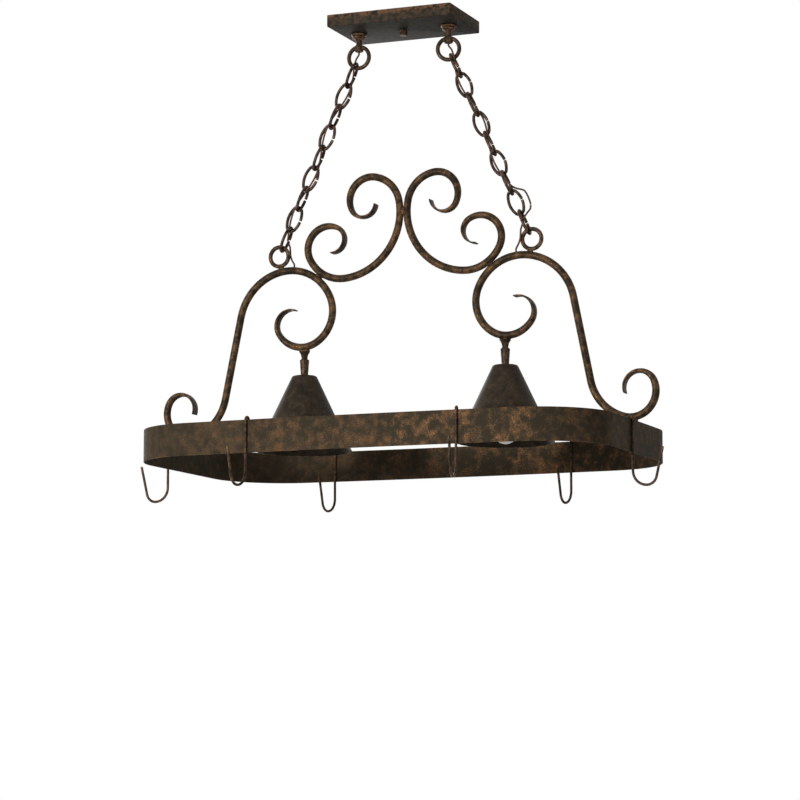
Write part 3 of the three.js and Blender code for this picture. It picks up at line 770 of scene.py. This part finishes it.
scrollLook = {
    "rodRadius": 6,
    "tipThickness": 2.6,
    "tipWidth": 18.6,
    "taper": 100,
    "crownHeight": 269.6,
    "crownHeading": -5,
    "legCrown": (88.9, -73.5),
    "legFoot": (76.1, 62.6),
    "endCurl": (40.1, 129.4),
    "endCurlTip": (24.7, 177.9),
    "innerCurl": [(77.3, 71.7), (58, 81.1), (48.1, 89.3), (25.7, 138.1)],
    "weldAboveCrown": 84,
    "upperCurl": [(91.2, -12), (51.6, -69.7), (36.5, -124.3), (22.1, -149)],
    "lowerCurl": [(102.4, 87.2), (62.3, 66.6), (36.1, 144.1), (21.4, 154.7)],
    "ringLean": 9.7,
    "ringRadius": 15.8,
    "ringWire": 3.4,
    "endRound": 0.9,
    "tipSquareness": 3.6,
}
crownReach = scrollLook["legCrown"][0] + scrollLook["rodRadius"]
ringReach = crownReach + gap + scrollLook["ringRadius"] + scrollLook["ringWire"]
crownCentreX = ringMiddle.x - ringReach * math.sin(math.radians(scrollLook["ringLean"]))
crownX = crownCentreX - scrollLook["legCrown"][0] * math.sin(math.radians(scrollLook["crownHeading"]))

for name, sign in sides.items():
    makeCord(name, sign)
print("cords made")


def rodSection(fromEnd):
    # round, and flatter, wider and squarer towards the tips
    look = scrollLook
    full = min(1, fromEnd / look["taper"])
    ease = full * full * (3 - 2 * full)
    thick = look["tipThickness"] + (2 * look["rodRadius"] - look["tipThickness"]) * ease
    wide = look["tipWidth"] + (2 * look["rodRadius"] - look["tipWidth"]) * ease
    return thick / 2, wide / 2, 2 + (look["tipSquareness"] - 2) * (1 - ease)


def onFrame(points, sign):
    return [Vector((sign * x, 0, bandTop + z)) for x, z in points]


def makeScrolls(name, sign):
    look = scrollLook
    crown = (crownX, look["crownHeight"])
    foot = [look["legFoot"], look["endCurl"]]
    shortLeg = bentPath(crown, look["crownHeading"], [look["legCrown"], *foot], step=1)
    legHeading = math.radians(look["crownHeading"] + look["legCrown"][1])
    # the straight run brings the foot down to rest on the band
    straight = (min(z for x, z in shortLeg) - look["rodRadius"]) / math.sin(-legHeading)
    runs = [look["legCrown"], (0, straight), *foot, look["endCurlTip"]]
    leg = bentPath(crown, look["crownHeading"], runs)
    inner = bentPath(crown, look["crownHeading"] + 180, look["innerCurl"])
    weld = (look["rodRadius"] + gap / 2, look["crownHeight"] + look["weldAboveCrown"])
    upper = bentPath(weld, 90, look["upperCurl"])
    lower = bentPath(weld, -90, look["lowerCurl"])
    rods = {
        f"outer_scroll_{name}": leg[::-1] + inner[1:],
        f"c_scroll_{name}": upper[::-1] + lower[1:],
    }
    for node, path in rods.items():
        rod = onFrame(path, sign)
        skin = sweep(rod, rodSection, (0, 1, 0), sidesRound=28, endRound=look["endRound"])
        addPart(node, "rod", skin, "rodSkin", "rack")

    centre = Vector((sign * ringMiddle.x, 0, ringMiddle.z))
    circle = [centre + p for p in ringPath(look["ringRadius"], 72)]
    skin = wireSkin(circle, look["ringWire"], (0, 1, 0), closed=True)
    addPart(f"scroll_ring_{name}", "wire", skin, "fittingSkin", "rack")
    return {"inner": inner, "lower": lower, "weld": weld}


def nearestPair(first, second):
    pairs = ((Vector(a), Vector(b)) for a in first for b in second)
    return min(pairs, key=lambda pair: (pair[0] - pair[1]).length)


faceSides = {"front": -1, "back": 1}
weldLook = {  # half sizes along x, y and z
    "scrolls": (2.6, 2.3, 5.5),
    "centre": (3.0, 2.4, 5.5),
    "ring": (5.2, 3.4, 1.9),
    "neck": (9.6, 5.2, 1.9),
    "foot": (3.2, 4.8, 1.3),
    "scrollsAside": 0.5,  # of the rod's radius
    "centreAside": 3.2,
    "neckLift": 0.6,
    "footLift": 0.5,
    "footInset": 1.5,  # from the band's outside
    "ripple": 0.05,
    "rippleTurns": 11,
    "lump": 0.16,
    "lumpScale": 1.7,
    "lumpShift": 0.37,  # keeps the welds unlike each other
}


def weldPool(name, centre, halfSizes, turn=0.0):
    # a lump of weld metal with ripples; turn leans it in the scrolls' plane
    matrix = Matrix.Translation(centre) @ Matrix.Rotation(turn, 4, "Y")
    rows, columns = 14, 20
    profile = [(math.sin(math.pi * k / rows), -math.cos(math.pi * k / rows)) for k in range(rows + 1)]
    vertices, faces = turnedSkin(profile, (0, 0, 0), columns)
    look = weldLook
    shaped = []
    for v in vertices:
        ripple = look["ripple"] * math.sin(v.z * look["rippleTurns"])
        lump = look["lump"] * noise.noise(v * look["lumpScale"] + centre * look["lumpShift"])
        spread = Vector([part * half for part, half in zip(v, halfSizes)])
        shaped.append(matrix @ (spread * (1 + ripple + lump)))
    standFor(addPiece(name, shaped, faces, "rodSkin", sharpAngle=80), None, "rack")


shapes = {name: makeScrolls(name, sign) for name, sign in sides.items()}
print("scroll work made")


def makeWelds(name, sign):
    look, shape = weldLook, shapes[name]
    a, b = nearestPair(shape["inner"], shape["lower"])
    touch = (a + b) / 2
    across = (a - b).normalized()
    turn = math.atan2(sign * across.x, across.y) + math.pi / 2
    for side, back in faceSides.items():
        aside = back * scrollLook["rodRadius"] * look["scrollsAside"]
        spot = Vector((sign * touch.x, aside, bandTop + touch.y))
        weldPool(f"weld_scrolls_{name}_{side}", spot, look["scrolls"], turn)
    lean = math.radians(scrollLook["ringLean"])
    x = crownCentreX + crownReach * math.sin(lean)
    z = ringMiddle.z - ringReach * math.cos(lean) + crownReach * math.cos(lean)
    weldPool(f"weld_ring_{name}", Vector((sign * x, 0, z)), look["ring"], sign * lean)
    x = nodeMiddle(f"neck_fitting_{name}").x
    z = nodeBox(f"neck_fitting_{name}")[1].z + look["neckLift"]
    weldPool(f"weld_neck_{name}", Vector((x, 0, z)), look["neck"])
    x = sign * (bandHigh.x - look["footInset"])
    weldPool(f"weld_foot_{name}", Vector((x, 0, bandTop + look["footLift"])), look["foot"])


for name, sign in sides.items():
    makeWelds(name, sign)
for side, back in faceSides.items():
    spot = Vector((0, back * weldLook["centreAside"], bandTop + shapes["left"]["weld"][1]))
    weldPool(f"weld_centre_{side}", spot, weldLook["centre"])
print("welds made")


bandLook = {
    "thickness": 3,
    "cornerRadius": 120.8,
    "sideRadius": 5500,
    "edgeRound": 0.7,
    "cornerSteps": 40,
    "sideSteps": 90,
    "endStep": 12,
    "heightSteps": 10,
}


def bandOutline():
    # middle of the strip all the way round, and the way out of it
    look = bandLook
    halfLength, halfWidth = bandHigh.x, bandHigh.y
    cornerX = halfLength - look["cornerRadius"]
    lean = math.asin(cornerX / (look["sideRadius"] - look["cornerRadius"]))
    sideY = halfWidth - look["sideRadius"]
    cornerY = sideY + (look["sideRadius"] - look["cornerRadius"]) * math.cos(lean)
    half = []
    for k in range(look["cornerSteps"] + 1):
        angle = k / look["cornerSteps"] * (math.pi / 2 - lean)
        half.append((Vector((cornerX, cornerY, 0)), look["cornerRadius"], angle))
    for k in range(1, look["sideSteps"]):
        angle = math.pi / 2 - lean * (1 - 2 * k / look["sideSteps"])
        half.append((Vector((0, sideY, 0)), look["sideRadius"], angle))
    for k in range(look["cornerSteps"] + 1):
        angle = math.pi / 2 + lean + k / look["cornerSteps"] * (math.pi / 2 - lean)
        half.append((Vector((-cornerX, cornerY, 0)), look["cornerRadius"], angle))
    endHeight = 2 * cornerY
    endSteps = max(1, round(endHeight / look["endStep"]))
    points = []
    for centre, radius, angle in half:
        out = Vector((math.cos(angle), math.sin(angle), 0))
        points.append((centre + out * (radius - look["thickness"] / 2), out))
    for k in range(1, endSteps):
        y = cornerY - endHeight * k / endSteps
        points.append((Vector((-halfLength + look["thickness"] / 2, y, 0)), Vector((-1, 0, 0))))
    turnedHalf = [(Vector((-p.x, -p.y, 0)), Vector((-o.x, -o.y, 0))) for p, o in points]
    return points + turnedHalf


def makeBand():
    look = bandLook
    half, low, high = look["thickness"] / 2, bandLow.z, bandHigh.z
    corners = [(-half, low), (half, low), (half, high), (-half, high)]
    section = eased(corners, look["edgeRound"], closed=True)
    steps = look["heightSteps"]
    rows = []
    for a, b in zip(section, section[1:] + section[:1]):
        rows.append(a)
        if (b - a).length > (high - low) / 2:
            rows += [a.lerp(b, k / steps) for k in range(1, steps)]
    rings = [[p + out * r.x + Vector((0, 0, r.y)) for r in rows] for p, out in bandOutline()]
    addPart("band", "strip", loft(rings, joined=True), "bandPatina", "rack")


makeBand()
print("band made")


canopyLook = {
    "wall": 1.5,
    "cornerRadius": 3.2,
    "edgeRadius": 1.6,
    "edgeSteps": 5,
    "leastRadius": 0.3,  # of a corner, inside
    "flankMiddle": 8,  # the height of a row of points on the flanks
    "rimEase": 0.4,
    "insideRound": 1,
    "crossbarRound": 4,
    "crossbarEase": (0.994, 0.4),  # how much smaller its faces are, and how far down that goes
    "holeRadius": 2.6,
    "holeSpacing": 76,
    "cutterReach": 5,  # below and above the ceiling
}
threadLook = {  # radius of the grooves and of the ridges
    "stud": (2.55, 2.98),
    "nipple": (2.85, 3.2),
    "ridge": 0.45,
}
capNutLook = {
    "knurls": 30,
    "knurlDepth": 0.035,  # of the radius
    "knurlInset": (1.6, 1.2),  # from the lower and the upper end
    "boreRadius": 3.3,
    "boreDepth": 4,
}


def roundedRectangle(halfX, halfY, radius):
    steps = 6  # in each corner
    points = []
    for quarter, (sx, sy) in enumerate(((1, 1), (-1, 1), (-1, -1), (1, -1))):
        for k in range(steps + 1):
            angle = math.pi / 2 * (quarter + k / steps)
            x = sx * (halfX - radius) + radius * math.cos(angle)
            points.append((x, sy * (halfY - radius) + radius * math.sin(angle)))
    return points


def threadRows(low, turns, size):
    # grooves and ridges, one to a millimetre
    groove, ridge = threadLook[size]
    rows = []
    for k in range(turns):
        rows += [(groove, low + k), (ridge, low + k + threadLook["ridge"])]
    return rows


def makeCanopy():
    look = canopyLook
    low, high = nodeBox("canopy")
    halfX, halfY = high.x, high.y
    wall, edge = look["wall"], look["edgeRadius"]
    profile = []  # inset and height, from the underside round the rim to the inside
    for k in range(look["edgeSteps"] + 1):
        angle = math.pi / 2 * k / look["edgeSteps"]
        profile.append((edge * (1 - math.sin(angle)), low.z + edge * (1 - math.cos(angle))))
    ease, inside = look["rimEase"], look["insideRound"]
    profile += [(0, low.z + look["flankMiddle"]), (0, -ease), (ease, 0), (wall - ease, 0), (wall, -ease),
                (wall, low.z + wall + inside), (wall + inside, low.z + wall)]
    rings = []
    for inset, z in profile:
        radius = max(look["leastRadius"], look["cornerRadius"] - inset)
        outline = roundedRectangle(halfX - inset, halfY - inset, radius)
        rings.append([Vector((x, y, z)) for x, y in outline])
    addPart("canopy", "pan", loft(rings), "canopySkin", "canopy")

    barLow, barHigh = nodeBox("ceiling_crossbar")
    outline = roundedRectangle(barHigh.x, barHigh.y, look["crossbarRound"])
    share, ease = look["crossbarEase"]
    rings = [[Vector((x * s, y * s, z)) for x, y in outline]
             for s, z in ((share, barLow.z), (1, barLow.z + ease), (1, -ease), (share, 0))]
    bar = addPiece("ceiling_crossbar_plate", *loft(rings), "plainSteel")
    radius, reach = look["holeRadius"], look["cutterReach"]
    hole = [(0, -reach), (radius, -reach), (radius, reach), (0, reach)]
    for sign in sides.values():
        skin = turnedSkin(hole, (sign * look["holeSpacing"] / 2, 0, 0), 32)
        cutter = addPiece("hole", *skin, "plainSteel")
        cut = bar.modifiers.new("hole", "BOOLEAN")
        cut.operation = "DIFFERENCE"
        cut.object = cutter
        cut.solver = "EXACT"
        settle(bar)
        bpy.data.objects.remove(cutter)
    bar.data.set_sharp_from_angle(angle=math.radians(sharpFrom))
    standFor(bar, "ceiling_crossbar", "canopy")

    low, high = nodeBox("canopy_stud")
    thread = [(0, low.z), (2.4, low.z), *threadRows(low.z + 0.3, int(high.z - low.z), "stud")]
    thread += [(2.5, high.z - 0.2), (2.3, high.z), (0, high.z)]
    addTurned("canopy_stud", "thread", thread, 0, 28, "plainSteel", "canopy", "plain_steel", 60)


def makeCapNut():
    look = capNutLook
    low, high = nodeBox("canopy_cap_nut")
    radius = high.x
    bore, inside = look["boreRadius"], high.z - look["boreDepth"]
    corners = [(radius - 1.2, low.z), (radius, low.z + 1.2), (radius, high.z - 1.4),
               (radius - 0.7, high.z - 0.5)]
    profile = [(0, low.z), (radius - 2.2, low.z), *eased(corners, 0.6), (radius - 0.9, high.z),
               (bore, high.z), (bore, inside), (0, inside)]
    lowest, highest = low.z + look["knurlInset"][0], high.z - look["knurlInset"][1]

    def knurl(angle, height):
        if not lowest < height < highest:
            return 1
        return 1 - look["knurlDepth"] * (0.5 + 0.5 * math.cos(angle * look["knurls"]))

    addTurned("canopy_cap_nut", "knurled", profile, 0, 240, "fittingSkin", "cap_nut", "dark_iron", 50,
              radial=knurl)


makeCanopy()
makeCapNut()
print("canopy made")


collarLook = {
    "radius": 13,
    "ridgeRadius": 10.4,
    "footRadius": 5.6,
    "edge": 0.9,
}
lockNutLook = {
    "corner": 9.0,
    "chamfer": (0.9, 0.12),  # share of the corner at the faces, and what a millimetre adds to it
    "segments": 96,
    "rows": 8,
}


def makeLoop(name, sign):
    look = loopLook
    yaw = math.radians(look["rightYaw"]) if sign > 0 else 0
    centre = Vector((sign * loopMiddle.x, 0, loopMiddle.z))
    matrix = Matrix.Translation(centre) @ Matrix.Rotation(yaw, 4, "Z")
    circle = [matrix @ p for p in ringPath(look["radius"], 64)]
    ring = wireSkin(circle, look["wire"], matrix.to_3x3() @ Vector((0, 1, 0)), closed=True)
    top = nodeBox(f"canopy_loop_{name}")[1].z - loopMiddle.z
    neck, bore, boss = look["neckRadius"], look["boreRadius"], look["bossRadius"]
    bossEnd = look["radius"] - look["bossInside"]
    bossTop = look["radius"] + look["wire"]
    profile = [(bore, bossEnd), (boss - 1.4, bossEnd), (boss, bossEnd + 1.6), (boss, bossTop - 2.4),
               (neck, bossTop), (neck, top), (bore, top)]
    skin = turnedSkin(eased(profile, look["edge"], closed=True), centre, 40, closed=True)
    loop = addPiece(f"canopy_loop_{name}_cast", *joinedSkins(ring, skin), "fittingSkin", 70)
    fuse = loop.modifiers.new("fuse", "REMESH")
    fuse.mode = "VOXEL"
    fuse.voxel_size = look["voxel"] * millimetre
    relax = loop.modifiers.new("relax", "SMOOTH")
    relax.factor, relax.iterations = look["smoothing"]
    settle(loop)
    loop.data.shade_smooth()
    standFor(loop, f"canopy_loop_{name}", "canopy")


def makeCollar(name, sign):
    look, node = collarLook, f"screw_collar_{name}"
    low, high = nodeBox(node)
    hole = loopLook["neckRadius"] + gap
    radius, ridge, foot = look["radius"], look["ridgeRadius"], look["footRadius"]
    profile = [(hole, low.z), (foot, low.z), (ridge, low.z + 3.4), (ridge, low.z + 5.4),
               (ridge - 1, low.z + 6.4), (radius - 1, high.z - 2.6), (radius, high.z - 1.6),
               (radius, high.z), (hole, high.z)]
    profile = eased(profile, look["edge"], closed=True)
    x = sign * loopMiddle.x
    addTurned(node, "bell", profile, x, 72, "collarSkin", f"collar_{name}", "dark_iron", closed=True)


def makeLockNut(name, sign):
    look, node = lockNutLook, f"loop_lock_nut_{name}"
    low, high = nodeBox(node)
    centre, hole = (sign * loopMiddle.x, 0, 0), loopLook["neckRadius"] + gap
    count, rows = look["segments"], look["rows"]
    atFace, added = look["chamfer"]

    def hexagon(angle, height):
        sector = (angle + math.pi / 6) % (math.pi / 3) - math.pi / 6
        flat = math.cos(math.pi / 6) / math.cos(sector)
        return min(flat, atFace + min(height - low.z, high.z - height) * added)

    outside = [(look["corner"], low.z + (high.z - low.z) * k / rows) for k in range(rows + 1)]
    outer = turnedSkin(outside, centre, count, radial=hexagon)
    inner = turnedSkin([(hole, high.z), (hole, low.z)], centre, count)
    vertices, faces = joinedSkins(outer, inner)
    lastRow, holeTop, holeFoot = (count * row for row in (rows, rows + 1, rows + 2))
    for k in range(count):
        n = (k + 1) % count
        faces.append((lastRow + k, lastRow + n, holeTop + n, holeTop + k))
        faces.append((k, n, holeFoot + n, holeFoot + k))
    addPart(node, "hexagon", (vertices, faces), "plainSteel", "canopy", 25)


for name, sign in sides.items():
    makeLoop(name, sign)
    makeCollar(name, sign)
    makeLockNut(name, sign)
print("loops, collars and lock nuts made")


def linkPath():
    # an oval of four arcs, open in the middle of one side
    look = chainLook
    halfLength = look["innerLength"] / 2 + look["wireRadius"]
    halfWidth = look["innerWidth"] / 2 + look["wireRadius"]
    end = look["endRadius"]
    reach = halfLength - end
    side = (halfWidth ** 2 - end ** 2 + reach ** 2) / (2 * (halfWidth - end))
    sideTurn = math.degrees(math.atan2(reach, side - halfWidth))
    opening = look["opening"] / 2 / side
    start = (halfWidth - side * (1 - math.cos(opening)), side * math.sin(opening))
    opening = math.degrees(opening)
    bend = (end, 180 - 2 * sideTurn)
    runs = [(side, sideTurn - opening), bend, (side, 2 * sideTurn), bend, (side, sideTurn - opening)]
    return bentPath(start, 90 + opening, runs)


def makeChain(name, sign):
    look = chainLook
    path = linkPath()
    place = Matrix.Translation(Vector((sign * loopMiddle.x, 0, loopMiddle.z)))
    place = place @ Matrix.Rotation(-sign * chainLean, 4, "Y")
    endBodies = {1: "top_links", look["links"]: "bottom_links"}
    for number in range(1, look["links"] + 1):
        drop = Matrix.Translation((0, 0, -linkTop(number) - look["innerLength"] / 2))
        matrix = place @ drop @ Matrix.Rotation(math.pi / 2 * (number % 2), 4, "Z")
        across = matrix.to_3x3() @ Vector((0, 1, 0))
        skin = wireSkin(placed(path, matrix), look["wireRadius"], across, endRound=look["endRound"])
        body = endBodies.get(number, f"{name}_chain")
        addPart(f"{name}_link_{number}", "wire", skin, "chainSkin", body)


for name, sign in sides.items():
    makeChain(name, sign)
print("chains made")


lampLook = {
    "neckHole": 3.5,
    "shadeTopRadius": 19.5,
    "shadeRimRadius": 77,
    "shadeWall": 1.3,
    "shadeDome": 1.4,
    "shoulderRound": 3.0,
    "shadeSteps": 24,
    "socketDepth": 13.6,  # from its top down to the bore's end
    "bulbRadius": 22,
    "bulbTurn": 0.56,  # how far the globe goes round, in half turns
    "bulbSlimness": 1.12,  # more than 1 draws its lower end in
    "bulbSteps": 14,
    "bulbThread": (12.4, 13.0, 3.2),  # grooves, ridges, pitch
    "capDepth": 4,
}


def makeNeck(name, x):
    hole = lampLook["neckHole"]
    node = f"neck_fitting_{name}"
    low, high = nodeBox(node)
    profile = [(0, low.z), (5.7, low.z), (4.9, low.z + 1.6), (4.9, low.z + 2.6), (6.2, low.z + 8.2),
               (9.1, high.z - 1.1), (8.8, high.z), (0, high.z)]
    addTurned(node, "turned", eased(profile, 0.8), x, 48, "fittingSkin", "rack", "dark_iron")

    node = f"neck_sleeve_{name}"
    low, high = nodeBox(node)
    profile = [(hole, low.z), (5.9, low.z), (6.1, low.z + 2), (7.6, high.z - 1.7), (7.2, high.z - 0.3),
               (6.2, high.z), (hole, high.z)]
    profile = eased(profile, 0.9, closed=True)
    addTurned(node, "turned", profile, x, 48, "fittingSkin", "rack", "dark_iron", closed=True)

    node = f"lamp_nipple_{name}"
    low, high = nodeBox(node)
    profile = [(1.8, low.z), *threadRows(low.z + 0.05, int(high.z - low.z), "nipple")]
    profile += [(2.8, high.z), (1.8, high.z)]
    addTurned(node, "thread", profile, x, 28, "plainSteel", "rack", "plain_steel", 60, closed=True)


def makeShade(name, x):
    look, node = lampLook, f"shade_{name}"
    low, high = nodeBox(node)
    hole, steps = look["neckHole"], look["shadeSteps"]
    top, rim, wall = look["shadeTopRadius"], look["shadeRimRadius"], look["shadeWall"]
    shoulder = high.z - look["shadeDome"]
    slope = (rim - top) / (shoulder - low.z)
    thick = wall * math.hypot(1, slope)
    outside = eased([(hole, high.z), (top, shoulder), (rim, low.z)], look["shoulderRound"], steps=8)
    cone = [outside[-2].lerp(outside[-1], k / steps) for k in range(1, steps)]
    outside = outside[:-1] + cone + [(rim, low.z + 0.5), (rim - 0.2, low.z + 0.1)]
    rimInside = rim - thick
    narrowing = top + slope * wall - thick - rimInside
    rise = shoulder - wall - low.z
    inside = [(rimInside + 0.2, low.z + 0.1), (rimInside, low.z + 0.6)]
    inside += [(rimInside + narrowing * k / steps, low.z + rise * k / steps) for k in range(1, steps + 1)]
    profile = outside + inside + [(hole, high.z - wall)]
    addTurned(node, "spun", profile, x, 128, "coneSkin", "rack", "rusty_bronze", 50, closed=True)


def makeSocket(name, x):
    look, node = lampLook, f"lamp_socket_{name}"
    low, high = nodeBox(node)
    hole, boreTop = look["neckHole"], high.z - look["socketDepth"]
    profile = [(hole, boreTop), (13.7, boreTop), (13.7, low.z), (16.4, low.z), (17, low.z + 0.8),
               (17, low.z + 3.4), (15.8, low.z + 4.2), (15.6, high.z - 14), (16.8, high.z - 12.4),
               (16.6, high.z - 10.4), (12, high.z), (hole, high.z)]
    profile = eased(profile, 0.9, closed=True)
    addTurned(node, "glazed", profile, x, 72, "porcelain", "rack", "socket_white", closed=True)


def makeBulb(name, x):
    look, node = lampLook, f"bulb_{name}"
    low, high = nodeBox(node)
    radius, steps = look["bulbRadius"], look["bulbSteps"]
    profile = []
    for k in range(steps + 1):
        angle = math.pi * look["bulbTurn"] * k / steps
        out = radius * math.sin(angle) ** look["bulbSlimness"]
        profile.append((out, low.z + radius * (1 - math.cos(angle))))
    socketLow = nodeBox(f"lamp_socket_{name}")[0].z
    groove, ridge, pitch = look["bulbThread"]
    profile += [(18.8, (low.z + radius + socketLow) / 2 + 1), (13.6, socketLow - 3), (ridge, socketLow - 1)]
    threadTop = high.z - look["capDepth"]
    z = socketLow + 1
    while z < threadTop - 3:
        profile += [(groove, z), (ridge, z + pitch / 2)]
        z += pitch
    profile += [(groove, threadTop), (6.5, high.z), (0, high.z)]
    addTurned(node, "frosted", profile, x, 72, "frostedGlass", node, "bulb_glass", 50)


for name in sides:
    x = nodeMiddle(f"shade_{name}").x
    makeNeck(name, x)
    makeShade(name, x)
    makeSocket(name, x)
    makeBulb(name, x)
print("downlights made")


hookLook = {
    "wire": 2.07,
    "return": 20,
    "leg": 80,
    "bend": (22, 90),
    "lipBend": (15.5, 77),
    "lip": 47,
    "tipRound": 1.2,
}
endHooks = {"hook_1": (-1, -52), "hook_6": (1, -30)}
sideHooks = {  # x, side of the band, yaw of the open side from the front towards +X
    "hook_2": (-161, -1, -10),
    "hook_3": (-217.5, 1, -10),
    "hook_4": (181, -1, 8.5),
    "hook_5": (200, 1, -8.5),
}


def makeHook(node, x, y, heading):
    look = hookLook
    saddle = bandLook["thickness"] / 2 + gap + look["wire"]
    runs = [(0, look["return"]), (saddle, -180), (0, look["leg"])]
    runs += [look["bend"], look["lipBend"], (0, look["lip"])]
    path = bentPath((-saddle, -look["return"]), 90, runs, step=7, straightStep=5)
    matrix = Matrix.Translation((x, y, bandTop)) @ Matrix.Rotation(math.radians(heading), 4, "Z")
    across = matrix.to_3x3() @ Vector((0, 1, 0))
    skin = wireSkin(placed(path, matrix), look["wire"], across, endRound=look["tipRound"])
    addPart(node, "wire", skin, "hookSkin", node)


def makeHooks():
    half = bandLook["thickness"] / 2
    for node, (sign, y) in endHooks.items():
        makeHook(node, sign * (bandHigh.x - half), y, 0 if sign > 0 else 180)
    middle = bandLook["sideRadius"] - half
    for node, (x, side, yaw) in sideHooks.items():
        y = side * (bandHigh.y - bandLook["sideRadius"] + math.sqrt(middle ** 2 - x ** 2))
        makeHook(node, x, y, yaw - 90)


makeHooks()
print("hooks made")


studioLook = {
    "floorDrop": 3.8,
    "floorRadius": 14,
    "floorGlow": 0.7,  # share of plain white that the camera sees on it
    "floorCloud": 0.6,
    "floorShades": ((0.86, 0.86, 0.86), (0.9, 0.9, 0.9)),
    "ambient": 0.26,
    "aim": 0.75,  # of the way down to the band's top edge
    "lamps": {  # place and size in metres, power in watts
        "key": ((-1.3, -4.9, -0.45), 0.9, 215),
        "rear": ((-2.4, 2.6, -0.1), 3.0, 60),
    },
}


def makeStudio():
    look = studioLook
    world = bpy.data.worlds.new("world")
    bpy.context.scene.world = world
    sky = Finish("world", world)
    kinds = ("Is Camera Ray", "Is Glossy Ray", "Is Transmission Ray")
    direct, glossy, through = (sky.node("ShaderNodeLightPath", output=kind) for kind in kinds)
    seen = direct.math("MAXIMUM", glossy).math("MAXIMUM", through)
    strength = look["ambient"] + (1 - look["ambient"]) * seen
    shader = sky.node("ShaderNodeBackground", {}, {"Color": (1.0, 1.0, 1.0), "Strength": strength})
    sky.node("ShaderNodeOutputWorld", {}, {"Surface": shader})

    radius, height = look["floorRadius"] / millimetre, -look["floorDrop"] / millimetre
    disc = [Vector((radius * math.cos(a), radius * math.sin(a), height)) for a in turnAngles(64)]
    paint = Finish("floorPaint")
    cloud = paint.noise(paint.place(), look["floorCloud"], detail=2)
    dull = paint.node("ShaderNodeBsdfDiffuse", {}, {"Color": paint.mix(cloud, *look["floorShades"])})
    glow = paint.node("ShaderNodeEmission", {}, {"Color": (1.0, 1.0, 1.0), "Strength": 1.0})
    ray = paint.node("ShaderNodeLightPath", output="Is Camera Ray")
    both = paint.node("ShaderNodeMixShader", {}, {0: look["floorGlow"] * ray, 1: dull, 2: glow})
    paint.node("ShaderNodeOutputMaterial", {}, {"Surface": both})
    finishes["floorPaint"] = paint.holder
    floor = addPiece("floor", disc, [tuple(range(len(disc)))], "floorPaint")

    aim = Vector((0, 0, bandTop * millimetre * look["aim"]))
    for name, (place, size, power) in look["lamps"].items():
        data = bpy.data.lights.new(name, "AREA")
        data.shape = "DISK"
        data.size = size
        data.energy = power
        lamp = bpy.data.objects.new(name, data)
        bpy.context.scene.collection.objects.link(lamp)
        lamp.location = place
        lamp.rotation_euler = (aim - Vector(place)).to_track_quat("-Z", "Y").to_euler()
    bpy.context.scene.view_settings.view_transform = "Standard"


makeStudio()
print("studio made")
